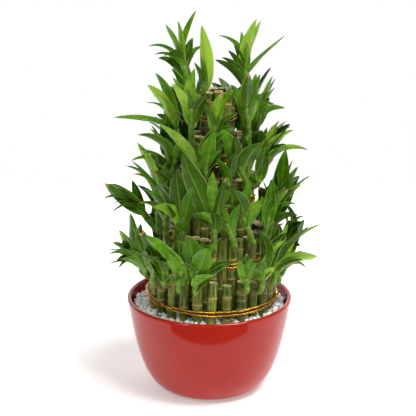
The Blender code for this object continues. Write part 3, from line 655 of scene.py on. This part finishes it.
fray_part = add(tree, "ShaderNodeMath", {0: fray["Fac"], 1: 0.3, 2: lay["Green"]}, operation="MULTIPLY_ADD")
dried = add(tree, "ShaderNodeMapRange", {"Value": fray_part[0], 1: 0.2, 2: 0.36, 3: 0.8, 4: 0.0})
browned = add(tree, "ShaderNodeMix", {0: dried[0], 6: mouthed[2], 7: linear("#8d7a45")}, data_type="RGBA")
thread_relief = add(tree, "ShaderNodeBump", {"Height": thread[0], "Strength": 0.3, "Distance": 0.15 * MM})
set_inputs(tree, shader, {
    "Base Color": browned[2], "Roughness": 0.42, "IOR": 1.4, "Specular IOR Level": 0.35,
    "Normal": thread_relief["Normal"],
})


def stem_path(tier, cane, end):
    """The stem's centreline: square out from its cane, then a parabola that turns to its end."""
    ring, canes = TIERS[tier - 1][:2]
    azimuth = 360 * (cane % canes) / canes
    height = cut_tops(tier - 1)[cane % canes]
    foot = place(ring + CANE_RADIUS - 1.5, azimuth, height - SHOOT_BELOW_TOP)
    start = foot + place(STEM_COLLAR + 1.5, azimuth, 0)
    knee = start + place(STEM_REACH, azimuth, 0)
    t = np.linspace(0, 1, STEM_POINTS)[:, None]
    return np.vstack([foot, (1 - t) ** 2 * start + 2 * t * (1 - t) * knee + t**2 * np.array(end)])


def along_stem(path, lengths):
    """The points at some lengths run along a path."""
    return np.stack([np.interp(lengths, run_along(path), path[:, k]) for k in range(3)], axis=-1)


def stem(path, azimuth, rng):
    """A tapered tube in steps: each sheath swells towards its mouth, which is cut at a slant."""
    end = run_along(path)[-1]
    mouths = np.arange(SHEATH * 0.8, end, SHEATH * rng.uniform(0.85, 1.15))
    lengths = [mouths - 0.6, mouths, mouths + 0.15, mouths + SHEATH / 2, [0, 1.5, end]]
    lengths = np.unique(np.concatenate(lengths))
    lengths = lengths[lengths <= end]
    spine = along_stem(path, lengths)
    forward = unit(np.gradient(spine, lengths, axis=0))
    sideways = place(1, azimuth + 90, 0)
    side = unit(sideways - (forward @ sideways)[:, None] * forward)
    other = np.cross(forward, side)
    through = np.searchsorted(mouths, lengths, side="left")
    since = lengths - np.concatenate([[0], mouths])[through]
    swell = np.clip(since / SHEATH, 0, 1)
    taper = lengths / end
    radius = STEM_RADIUS * (1 - taper) + STEM_TIP_RADIUS * taper + SHEATH_SWELL * swell - 0.15
    turn = np.linspace(0, 2 * math.pi, STEM_SIDES, endpoint=False)
    slant = SHEATH_SLANT * np.cos(turn[None] - SHEATH_TURN * through[:, None])
    slant = slant * np.clip(since / 3, 0, 1)[:, None]
    rings = spine[:, None] + radius[:, None, None] * (
        np.cos(turn)[None, :, None] * side[:, None] + np.sin(turn)[None, :, None] * other[:, None]
    ) + slant[:, :, None] * forward[:, None] * (lengths < end - 2)[:, None, None]
    rings = closed(rings, spine)
    run = np.concatenate([[0], lengths, lengths[-1:]])[:, None] / BROWN_SCALE
    pale = np.concatenate([[0], swell**2, [0]])[:, None]
    return rings, ring_fields(rings, turn / (2 * math.pi), run, pale)


# The section of a leaf: places across it, -1 to 1, along its upper face and back along its lower
ACROSS = np.array((-1, -0.66, -0.33, 0, 0.33, 0.66, 1, 0.66, 0.33, 0, -0.33, -0.66))
UPPER = np.array((0.5, 1, 1, 1, 1, 1, 0.5, 0, 0, 0, 0, 0))


def leaf(start, tip, heading, wide, bow, faced, tone, rng):
    """Flat closed rings along one blade, and their fields.

    The spine is a cubic curve. Its first handle points half along the stem's heading and half
    straight at the tip, and its second lies off the straight line, upwards by bow times the
    length. The face turns towards faced as far as the spine allows, then twists a little. The
    width is a lance's: full at LEAF_WIDEST_AT, narrow at the stem and pointed at the tip. Across,
    the two halves fold up from the midrib, most at the foot, where the leaf clasps its stem.
    """
    s = np.linspace(0, 1, LEAF_ROWS)[:, None]
    size = np.linalg.norm(tip - start)
    along = (tip - start) / size
    rise = np.array((0, 0, 1.0)) - along[2] * along
    if np.linalg.norm(rise) < 0.02:
        rise = -faced
    rise = unit(rise)
    near = start + LEAF_HANDLES[0] * size * (TO_STEM * heading + TO_TIP * along + bow * rise)
    far = start + LEAF_HANDLES[1] * size * along + BOW_LIFT * bow * size * rise
    spine = (1 - s) ** 3 * start + 3 * s * (1 - s) ** 2 * near + 3 * s**2 * (1 - s) * far + s**3 * tip
    path = unit((1 - s) ** 2 * (near - start) + 2 * s * (1 - s) * (far - near) + s**2 * (tip - far))
    front = faced - (faced @ along) * along
    face = (-front if front @ rise < 0 else front) + rise / 2
    normal = unit(face - (path @ face)[:, None] * path)
    across = np.cross(path, normal)
    twist = rng.uniform(-LEAF_TWIST, LEAF_TWIST) * s**2
    across, normal = (np.cos(twist) * across + np.sin(twist) * normal,
                      np.cos(twist) * normal - np.sin(twist) * across)
    spine = spine + rng.uniform(-0.05, 0.05) * size * 4 * s * (1 - s) * across
    shape = np.sin(np.pi * s ** (math.log(0.5) / math.log(LEAF_WIDEST_AT))) + LEAF_FOOT * (1 - s)
    half = wide / 2 * LEAF_FULLER * np.maximum(shape / 1.15, 0.0) ** 0.75
    half[-1] = 0.0
    fold = rng.uniform(*LEAF_FOLD) + FOOT_FOLD * np.exp(-s / 0.10)
    ripple = 0.07 * np.sin(s * rng.uniform(9, 15) + rng.uniform(0, 6)) * ACROSS
    lift = half * (fold * np.abs(ACROSS) ** 1.3 + ripple * np.abs(ACROSS))
    body = LEAF_THICK * (UPPER - 0.5) * np.sqrt(np.clip(half / 2, 0, 1))
    under_midrib = (ACROSS == 0) & (UPPER < 0.5)
    keel = np.where(under_midrib, -LEAF_KEEL, 0.0) * np.clip(1 - s, 0.2, 1) * np.clip(half / 3, 0, 1)
    rings = spine[:, None] + (half * ACROSS)[:, :, None] * across[:, None]
    rings = rings + (lift + body + keel)[:, :, None] * normal[:, None]
    rings = np.concatenate([spine[:1, None].repeat(len(ACROSS), 1), rings])
    down = np.concatenate([[0.0], s[:, 0]])[:, None]
    dried = 1.0 if rng.random() < LEAF_DRIED else 0.0
    lay = ring_fields(rings, ACROSS / 2 + 0.5, down, 0.0)
    return rings, lay, ring_fields(rings, tone, dried, UPPER)


def facing(azimuth, rng):
    """The direction that a leaf's face turns to: nearer the front or the back than its cane is."""
    azimuth = (azimuth + 180) % 360 - 180
    if abs(azimuth) < 120:
        turned_to = LEAF_FACES * azimuth
    else:
        turned_to = 180 - LEAF_FACES * (180 - azimuth % 360)
    return place(1, turned_to + rng.uniform(-20, 20), 0)


def add_shoot(name, tier, cane, end, leaves, extra, seed, stands_for=()):
    """One shoot as one piece: its stem, the given leaves and extra ones round them at random.

    A random leaf opens from the stem's heading, wider the lower it starts, and is left out where
    it would run far in between the canes.
    """
    rng = np.random.default_rng(seed)
    azimuth = 360 * cane / TIERS[tier - 1][1]
    path = stem_path(tier, cane, end)
    length = run_along(path)[-1]
    rings, fields = stem(path, azimuth, rng)
    tubes, lays, ages = [rings], [fields], [np.zeros((len(fields), 4))]
    blades = []
    for x, y, z, wide, bow, at, *tone in leaves:
        own_tone = tone[0] if tone else rng.uniform(0.1, 0.6)
        bow = bow if bow >= SLIGHT_BOW else 0.6 * bow
        start = along_stem(path, LEAVES_WITHIN * at * STEM_USED * length)
        blades.append((start, np.array((x, y, z), float), wide, bow, own_tone))
    heading = unit(path[-1] - path[-4])
    for _ in range(extra):
        at = rng.uniform(0.35, 0.95)
        start = along_stem(path, at * STEM_USED * length)
        spread = place(1, azimuth * 0.8 + rng.uniform(-130, 130), 0)
        opening = math.radians(rng.uniform(24, 48) * (1.3 - at) + rng.uniform(2, 14))
        size = rng.uniform(*EXTRA_LENGTH)
        tip = start + size * unit(heading * math.cos(opening) + spread * math.sin(opening))
        if math.hypot(tip[0], tip[1]) < math.hypot(start[0], start[1]) - 14:
            continue
        wide, bow = size * rng.uniform(*EXTRA_WIDTH), rng.uniform(0.02, 0.2)
        # A random leaf's tone falls the lower it starts on the stem: older leaves, and painted shade low
        # within the plant
        blades.append((start, tip, wide, bow, 0.55 * at * rng.uniform(0.1, 1)))
    for start, tip, wide, bow, tone in blades:
        faced = facing(azimuth, rng) if leaves else place(1, azimuth + rng.uniform(-40, 40), 0)
        rings, lay, age = leaf(start, tip, heading, wide, bow, faced, tone, rng)
        tubes.append(rings)
        lays.append(lay)
        ages.append(age)
    points, faces = gathered(tubes)
    on_leaf = np.arange(len(faces)) >= (len(tubes[0]) - 1) * STEM_SIDES
    put(name, points, faces, [sheath_skin, leaf_skin], "foliage", stands_for, finish_of=on_leaf,
        lay=np.concatenate(lays), age=np.concatenate(ages))


# The shoots that show most, one row each: the tier, the cane counted from the front to the
# right, the stem's far end, and the leaves: tip, width, bow, place on the stem, and for some a tone
# from 0 to 1. The tone is how new the leaf is, with painted light and shade, high where a leaf is
# lit and low where it is shaded. Each stands for the CAD shoot of the same tier and turn.
SHOOTS = (
    (5, -2, (-45, -4, 395), (
        (-26, -6, 435, 6, 0.05, 1, 0.5), (-46, -4, 423, 9, 0.03, 1, 0.6), (-59, -10, 419, 8, 0.05, 0.95, 0.5),
        (-78, -5, 394, 6, 0.22, 0.9, 0.45), (-70, -15, 387, 7, 0.2, 0.8, 0.4),
        (-60, -20, 386, 8, 0.3, 0.9, 0.2), (-67, 5, 380, 8, 0.2, 0.6, 0.2),
        (-54, -18, 391, 7, 0.3, 0.95, 0.3), (-29, -12, 406, 9, 0.1, 0.85, 0.25),
        (-15, -10, 397, 7, 0.2, 0.8, 0.5),
    )),
    (5, 2, (29, -2, 384), (
        (39, -6, 427, 14, 0.06, 0.85, 0.75), (44, 6, 424, 10, 0.05, 0.9, 0.7), (29, -14, 403, 7, 0.1, 1, 0.5),
        (23, 4, 412, 8, 0.05, 1, 0.5), (-2, -4, 408, 6, 0.2, 0.8, 0.5), (71, -6, 411, 7, 0.02, 0.75, 0.45),
        (15, -10, 399, 6, 0.1, 0.9, 0.2), (9, -16, 394, 6, 0.1, 0.8, 0.15), (2, -20, 387, 6, 0.12, 0.7, 0.2),
        (-5, -26, 385, 7, 0.12, 0.55, 0.15),
    )),
    (4, -2, (-28, -36, 334), (
        (-26, -34, 377, 13, 0.04, 0.9, 0.55), (-50, -38, 361, 13, 0.12, 0.8, 0.8),
        (-50, -24, 365, 8, 0.1, 0.9, 0.4), (-33, -42, 355, 8, 0.05, 0.7, 0.25),
        (-13, -44, 353, 8, 0.12, 0.7, 0.4),
    )),
    (4, -4, (-52, -6, 323), (
        (-69, -8, 366, 10, 0.08, 1, 0.35), (-77, -16, 354, 12, 0.15, 0.95, 0.85),
        (-57, -2, 352, 8, 0.05, 1, 0.2), (-79, -10, 333, 6, 0.2, 0.8, 0.45),
        (-114, -12, 316, 7, 0.16, 0.65, 0.5), (-63, -26, 344, 10, 0.15, 0.8, 0.6),
    )),
    (4, 4, (47, -4, 323), (
        (59, -8, 367, 10, 0.08, 0.95, 0.55), (63, 4, 362, 9, 0.05, 1, 0.3), (48, -20, 350, 8, 0.1, 0.9, 0.4),
        (56, -16, 344, 9, 0.12, 0.85, 0.3), (63, -30, 338, 14, 0.3, 0.75, 0.45),
        (75, 0, 329, 8, 0.25, 0.8, 0.4),
    )),
    (3, -2, (-15, -44, 276), (
        (-63, -50, 319, 14, 0.14, 0.85, 0.65), (-3, -52, 312, 11, 0.04, 0.7, 0.55),
        (-29, -48, 302, 10, 0.05, 0.9, 0.3), (5, -56, 294, 8, 0.15, 0.6, 0.3),
    )),
    (3, -5, (-44, -22, 275), (
        (-87, -24, 300, 11, 0.2, 0.8, 0.25), (-86, -28, 286, 8, 0.15, 0.7, 0.3),
        (-94, -18, 269, 6, 0.2, 0.6, 0.4), (-57, -18, 297, 9, 0.08, 1, 0.3),
        (-74, -12, 305, 10, 0.1, 0.95, 0.4),
    )),
    (3, 3, (25, -44, 273), (
        (5, -56, 316, 15, 0.05, 0.9, 0.4), (48, -52, 302, 20, 0.1, 0.9, 0.2),
        (27, -48, 310, 14, 0.05, 0.8, 0.08),
    )),
    (3, 6, (51, 0, 272), (
        (68, -6, 317, 12, 0.05, 1, 0.75), (75, 8, 311, 6, 0.05, 1, 0.4), (85, -4, 306, 10, 0.15, 0.9, 0.7),
        (54, -8, 300, 9, 0.08, 0.95, 0.35), (102, -6, 284, 7, 0.25, 0.75, 0.6),
        (56, 10, 305, 8, 0.05, 1, 0.3), (81, -16, 285, 10, 0.25, 0.8, 0.5),
    )),
    (2, -7, (-61, -16, 252), (
        (-87, -22, 291, 12, 0.08, 1, 0.6), (-94, -14, 268, 6, 0.15, 0.9, 0.4),
        (-100, -20, 264, 7, 0.2, 0.7, 0.35), (-91, -28, 257, 6, 0.25, 0.8, 0.4),
        (-53, -26, 273, 8, 0.05, 0.9, 0.35), (-74, -8, 277, 10, 0.05, 1, 0.25),
    )),
    (2, -8, (-89, -4, 217), (
        (-119, -6, 239, 9, 0.12, 1, 0.4), (-111, -12, 234, 8, 0.08, 0.95, 0.1),
        (-126, -4, 221, 7, 0.2, 0.9, 0.3), (-120, -10, 214, 7, 0.25, 0.8, 0.2),
        (-115, -16, 208, 8, 0.3, 0.7, 0.2), (-94, 2, 242, 9, 0.05, 1, 0.25),
    )),
    (2, -3, (-34, -52, 222), (
        (-68, -56, 228, 11, 0.2, 0.8, 0.6), (-43, -64, 271, 18, 0.04, 0.95, 0.05),
        (-32, -68, 217, 13, 0.12, 0.5, 0.45), (-21, -60, 243, 9, 0.1, 0.8, 0.3),
    )),
    (2, 0, (-1, -66, 225), (
        (-37, -74, 295, 21, 0.04, 0.9, 0.15), (-4, -74, 275, 11, 0, 1, 0.45),
        (10, -72, 268, 9, 0, 0.95, 0.05), (-15, -82, 232, 9, 0.08, 0.95, 0.5),
    )),
    (2, 4, (28, -52, 223), (
        (48, -60, 240, 14, 0.1, 0.9, 0.55), (14, -56, 250, 9, 0.05, 1, 0.3), (37, -48, 261, 9, 0.05, 1, 0.4),
        (7, -66, 234, 8, 0.2, 0.7, 0.4),
    )),
    (2, 7, (74, -10, 221), (
        (77, -8, 285, 17, 0.03, 1, 0.35), (86, -4, 273, 10, 0.05, 1, 0.3),
        (91, -14, 267, 14, 0.08, 0.95, 0.3), (106, -10, 256, 13, 0.12, 0.95, 0.3),
        (95, -24, 249, 15, 0.15, 0.85, 0.6), (97, -28, 239, 6, 0.25, 0.8, 0.4),
        (67, -10, 263, 10, 0.05, 1, 0.3),
    )),
    (1, -7, (-88, -10, 149), (
        (-107, -14, 188, 13, 0.05, 0.95, 0.75), (-95, -10, 207, 12, 0.05, 1, 0.4),
        (-114, -14, 173, 12, 0.08, 0.9, 0.45), (-118, -16, 159, 8, 0.2, 0.8, 0.5),
        (-117, -20, 149, 11, 0.15, 0.6, 0.15), (-106, -30, 147, 9, 0.2, 0.4, 0.5),
        (-82, -20, 198, 10, 0.03, 1, 0.3), (-102, -24, 179, 12, 0.05, 0.9, 0.25),
    )),
    (1, -3, (-55, -66, 165), (
        (-69, -64, 196, 12, 0.05, 1, 0.3), (-61, -66, 191, 10, 0.03, 0.9, 0.25),
        (-78, -66, 189, 9, 0.1, 0.9, 0.35), (-50, -64, 194, 10, 0.05, 0.8, 0.15),
    )),
    (1, -1, (-17, -88, 169), (
        (-27, -90, 207, 21, 0.03, 0.95, 0.3), (-13, -86, 199, 12, 0.03, 1, 0.2),
        (3, -92, 184, 11, 0.08, 0.8, 0.5), (0, -98, 167, 14, 0.15, 0.6, 0.45),
        (-36, -96, 180, 9, 0.1, 0.8, 0.2),
    )),
    (1, 3, (55, -64, 171), (
        (36, -78, 163, 15, 0.2, 0.9, 0.25), (76, -60, 196, 10, 0.05, 1, 0.6),
        (41, -76, 175, 12, 0.15, 0.8, 0.15), (67, -70, 167, 9, 0.15, 0.6, 0.85),
        (52, -64, 190, 9, 0.05, 0.9, 0.2),
    )),
    (1, 6, (85, -10, 177), (
        (122, -4, 198, 8, 0.1, 1, 0.6), (101, -8, 191, 12, 0.05, 1, 0.6), (94, -4, 197, 11, 0.03, 1, 0.45),
        (117, -26, 167, 22, 0.04, 0.55, 0.95), (104, -34, 155, 10, 0.2, 0.4, 0.5),
    )),
    (3, 12, (-8, 62, 288), (
        (-30, 60, 318, 9, 0.1, 1), (10, 66, 322, 9, 0.05, 1), (34, 70, 296, 9, 0.2, 0.9),
        (-46, 74, 290, 9, 0.25, 0.8), (-6, 88, 300, 10, 0.2, 0.8), (16, 84, 276, 9, 0.3, 0.6),
    )),
    (2, 16, (12, 76, 224), (
        (-6, 74, 262, 9, 0.05, 1), (34, 78, 256, 9, 0.1, 1), (52, 86, 232, 9, 0.2, 0.85),
        (-30, 90, 236, 9, 0.2, 0.8), (14, 104, 222, 10, 0.3, 0.7),
    )),
    (1, 13, (-14, 92, 172), (
        (-34, 88, 206, 9, 0.05, 1), (6, 94, 208, 9, 0.05, 1), (28, 104, 180, 9, 0.2, 0.85),
        (-52, 104, 178, 9, 0.25, 0.8), (-12, 118, 160, 10, 0.3, 0.7),
    )),
)
EXTRA_LEAVES = {1: 4, 2: 2, 3: 2, 4: 1, 5: 0}
for index, (tier, cane_number, end, leaves) in enumerate(SHOOTS):
    number = sum(row[0] == tier for row in SHOOTS[:index + 1])
    node = f"tier_{tier}_shoot_{number}"
    add_shoot(f"leafy_{node}", tier, cane_number, end, leaves, EXTRA_LEAVES[tier], 200 + index, [node])

# More shoots between them, as the real plant has: rows as above, and a number of extra leaves
MORE_SHOOTS = (
    (5, -1, (-14, -26, 361), (
        (-20, -28, 422, 12, 0.02, 0.95, 0.9), (-27, -34, 383, 6, 0.1, 0.8, 0.2),
        (-21, -32, 389, 5, 0.1, 0.8, 0.3),
    ), 0),
    (4, 0, (-3, -40, 320), (
        (4, -46, 354, 13, 0.0, 0.95, 0.6), (14, -44, 359, 11, 0.06, 1, 0.5),
        (-16, -48, 342, 8, 0.1, 0.8, 0.25), (20, -48, 332, 8, 0.15, 0.7, 0.2),
    ), 0),
    (3, -1, (-11, -52, 274), (
        (-4, -58, 315, 12, 0.0, 0.9, 0.35), (7, -52, 301, 9, 0.05, 0.9, 0.05),
        (-24, -56, 292, 9, 0.15, 0.8, 0.2),
    ), 0),
    (3, 1, (12, -50, 262), (
        (20, -56, 292, 10, 0.05, 0.9, 0.1), (0, -58, 284, 9, 0.1, 0.8, 0.25),
    ), 0),
    (4, 3, (30, -24, 335), (
        (40, -22, 371, 14, 0.04, 0.85, 0.5), (44, -30, 372, 8, 0.1, 0.8, 0.4),
        (13, -32, 360, 10, 0.12, 0.8, 0.5), (49, -34, 351, 10, 0.2, 0.7, 0.35),
    ), 1),
    (2, -5, (-52, -34, 230), (
        (-66, -38, 262, 11, 0.06, 1, 0.5), (-80, -40, 244, 10, 0.15, 0.9, 0.35),
        (-48, -44, 258, 9, 0.05, 0.9, 0.3), (-84, -36, 226, 9, 0.25, 0.7, 0.3),
    ), 4),
    (2, 2, (12, -62, 214), (
        (2, -66, 240, 9, 0.1, 0.9, 0.4), (26, -66, 238, 9, 0.1, 0.9, 0.3),
    ), 1),
    (2, 6, (66, -26, 222), (
        (60, -30, 256, 11, 0.05, 1, 0.3), (80, -34, 246, 11, 0.1, 0.9, 0.5),
        (90, -30, 228, 10, 0.25, 0.8, 0.4),
    ), 4),
    (1, -4, (-64, -60, 160), (
        (-74, -64, 186, 12, 0.1, 0.9, 0.2), (-59, -60, 197, 9, 0.03, 1, 0.35),
        (-84, -64, 172, 8, 0.2, 0.7, 0.3),
    ), 2),
    (1, -2, (-35, -84, 165), (
        (-74, -86, 206, 19, 0.06, 0.9, 0.45), (-40, -82, 201, 14, 0.03, 0.95, 0.12),
        (-49, -88, 188, 11, 0.05, 0.8, 0.5), (-46, -96, 153, 9, 0.3, 0.5, 0.3),
    ), 1),
    (1, -5, (-73, -44, 156), (
        (-90, -40, 200, 12, 0.04, 1, 0.3), (-85, -48, 192, 15, 0.05, 0.95, 0.25),
        (-78, -50, 200, 13, 0.05, 1, 0.45), (-97, -46, 175, 11, 0.12, 0.8, 0.3),
        (-64, -50, 189, 11, 0.05, 0.9, 0.2), (-101, -48, 165, 9, 0.2, 0.6, 0.4),
    ), 2),
    (1, 4, (71, -40, 163), (
        (81, -36, 207, 8, 0.03, 1, 0.55), (91, -36, 193, 11, 0.05, 0.95, 0.6),
        (100, -40, 178, 9, 0.1, 0.8, 0.5), (71, -44, 191, 9, 0.03, 0.9, 0.3),
    ), 2),
    (1, 2, (35, -74, 157), (
        (25, -82, 178, 9, 0.05, 0.9, 0.45), (47, -80, 177, 9, 0.1, 0.9, 0.4),
        (35, -78, 186, 9, 0.03, 1, 0.35),
    ), 1),
    (1, 5, (71, -26, 151), (
        (79, -28, 174, 9, 0.03, 1, 0.6), (88, -30, 163, 10, 0.1, 0.9, 0.7), (64, -28, 178, 9, 0.03, 1, 0.3),
    ), 2),
    (2, 5, (60, -36, 218), (
        (61, -34, 254, 11, 0.03, 1, 0.3), (72, -34, 244, 10, 0.05, 1, 0.2),
        (50, -38, 239, 10, 0.05, 0.9, 0.35), (68, -38, 229, 9, 0.1, 0.8, 0.45),
    ), 1),
    (3, 4, (50, -24, 258), (
        (34, -30, 263, 7, 0.03, 0.7, 0.35), (69, -24, 291, 12, 0.08, 1, 0.25),
        (55, -22, 299, 11, 0.04, 1, 0.3), (59, -26, 280, 11, 0.1, 0.9, 0.15),
    ), 1),
    (1, -6, (-81, -26, 153), (
        (-98, -24, 184, 13, 0.05, 1, 0.4), (-108, -26, 169, 12, 0.08, 0.9, 0.3),
        (-87, -26, 194, 12, 0.04, 1, 0.5), (-92, -30, 163, 11, 0.12, 0.8, 0.2),
        (-111, -28, 158, 9, 0.15, 0.7, 0.45),
    ), 1),
)
for index, (tier, cane_number, end, leaves, extra) in enumerate(MORE_SHOOTS):
    add_shoot(f"more_tier_{tier}_{index + 1:02d}", tier, cane_number, end, leaves, extra, 300 + index)

# Side shoots all round, where nothing else shows: short stems that rise outwards, with leaves at
# random. Each row is a tier and its canes, counted as above.
ROUND_LEAVES = 6
rng = np.random.default_rng(77)
ROUND_ABOUT = (
    (1, (-10, -9, 7, 9, 10, 12, 15, -12)),
    (2, (-12, -10, 11, 13, 18, -14)),
    (3, (-8, -7, 7, 9, 10, -10)),
    (4, (-6, 5, 7, -7)),
)
for tier, canes in ROUND_ABOUT:
    for cane_number in canes:
        ring, count, _, top, _ = TIERS[tier - 1]
        azimuth = 360 * cane_number / count + rng.uniform(-8, 8)
        end = place(ring + rng.uniform(13, 22), azimuth, top + rng.uniform(14, 32))
        add_shoot(f"round_tier_{tier}_{cane_number % count:02d}", tier, cane_number, end, (),
                  ROUND_LEAVES, int(rng.integers(1000)))

# ---------------------------------------------------------------------------- studio
# A pale floor and a lit white backdrop that the camera doesn't see, under soft light from above
# and both sides. A black card on the floor in front is what the upper part of the bowl mirrors.
FLOOR_HALF = 1.5
BACKDROP_AT = 0.9
BACKDROP_HEIGHT = 1.9


def sheet(name, corners, faces, finish):
    """A flat sheet of one finish, from corners in metres."""
    mesh = bpy.data.meshes.new(name)
    mesh.from_pydata(corners, [], faces)
    mesh.materials.append(finish)
    return in_scene(name, mesh)


def lit_paper(name, glow):
    """Matt white paper with a glow of its own, which evens out the shade on it."""
    made, tree, shader = new_finish(name)
    set_inputs(tree, shader, {
        "Base Color": linear("#f2f0f0"), "Roughness": 0.95, "Specular IOR Level": 0.1,
        "Emission Color": linear("#ffffff"), "Emission Strength": glow,
    })
    return made


front_left, front_right = (-FLOOR_HALF, -FLOOR_HALF, 0), (FLOOR_HALF, -FLOOR_HALF, 0)
back_left, back_right = (-FLOOR_HALF, BACKDROP_AT, 0), (FLOOR_HALF, BACKDROP_AT, 0)
floor = sheet("floor", [front_left, front_right, back_right, back_left], [(0, 1, 2, 3)],
              lit_paper("pale_paper", 0.29))

# The card's near edge is a shallow parabola that opens to the bowl, and its sides spread outwards
CARD_HALF = 0.144
CARD_CURVE = 0.035
CARD_NEAR = 0.177
CARD_FAR = 2.2
CARD_UP = 0.002
CARD_POINTS = 15
black_card, tree, shader = new_finish("black_card")
set_inputs(tree, shader, {"Base Color": linear("#101010"), "Roughness": 1.0, "Specular IOR Level": 0.0})
edge = np.linspace(-1, 1, CARD_POINTS)
up = np.full(CARD_POINTS, CARD_UP)
near = np.stack([CARD_HALF * edge, CARD_CURVE * edge**2 - CARD_NEAR, up], axis=1)
far = np.stack([CARD_FAR * np.sin(edge), -CARD_FAR * np.cos(edge), up], axis=1)
strips = [(i, i + 1, i + 1 + CARD_POINTS, i + CARD_POINTS) for i in range(CARD_POINTS - 1)]
card = sheet("dark_card", np.concatenate([near, far]).tolist(), strips, black_card)
card.visible_camera = card.visible_diffuse = card.visible_shadow = False

# The backdrop stands at the floor's end, and shows in the lip of the bowl and on the leaves
top_right, top_left = (*back_right[:2], BACKDROP_HEIGHT), (*back_left[:2], BACKDROP_HEIGHT)
backdrop = sheet("backdrop", [back_left, back_right, top_right, top_left], [(0, 1, 2, 3)],
                 lit_paper("lit_paper", 0.6))
backdrop.visible_camera = False

# White for the camera and dim for all else, so that deep shade stays between the leaves
WORLD_GLOW = 0.04
world = bpy.data.worlds.new("studio")
bpy.context.scene.world = world
world.use_nodes = True
tree = world.node_tree
ray = add(tree, "ShaderNodeLightPath", {})
strength = add(tree, "ShaderNodeMapRange", {"Value": ray["Is Camera Ray"], 3: WORLD_GLOW, 4: 1.0})
set_inputs(tree, tree.nodes["Background"], {"Color": (1, 1, 1, 1), "Strength": strength[0]})
bpy.context.scene.view_settings.view_transform = "Standard"


def turned_back(offset):
    """The rotation of a lamp or camera that stands at an offset from what it looks at."""
    return Vector(offset).to_track_quat("Z", "Y").to_euler()


# A broad key light from the right of the camera, so far off that it is even over the whole floor
sun = bpy.data.lights.new("key", "SUN")
sun.energy = 3.0
sun.angle = math.radians(26)
in_scene("key", sun).rotation_euler = turned_back((0.5, -0.32, 1.2))

# Two softboxes high in front fill the shade and put the gloss on the leaves: place, size, power
LIT_MIDDLE = Vector((0, 0, 0.25))
SOFTBOXES = (("softbox_left", (-0.75, -1.0, 1.25), 0.3, 7), ("softbox_right", (0.8, -1.1, 1.1), 0.25, 3))
for name, at, size, power in SOFTBOXES:
    light = bpy.data.lights.new(name, "AREA")
    light.size = size
    light.energy = power
    softbox = in_scene(name, light)
    softbox.location = at
    softbox.rotation_euler = turned_back(softbox.location - LIT_MIDDLE)

# A long lens in front, higher than the plant, which looks down on its middle
LENS = 99.4
CAMERA_AT = Vector((-0.00144, -1.2453, 0.5852))
CAMERA_AIM = Vector((-0.00144, 0, 0.2121))
lens = bpy.data.cameras.new("camera")
lens.lens = LENS
lens.sensor_width = 36
camera = in_scene("camera", lens)
camera.location = CAMERA_AT
camera.rotation_euler = turned_back(CAMERA_AT - CAMERA_AIM)
bpy.context.scene.camera = camera
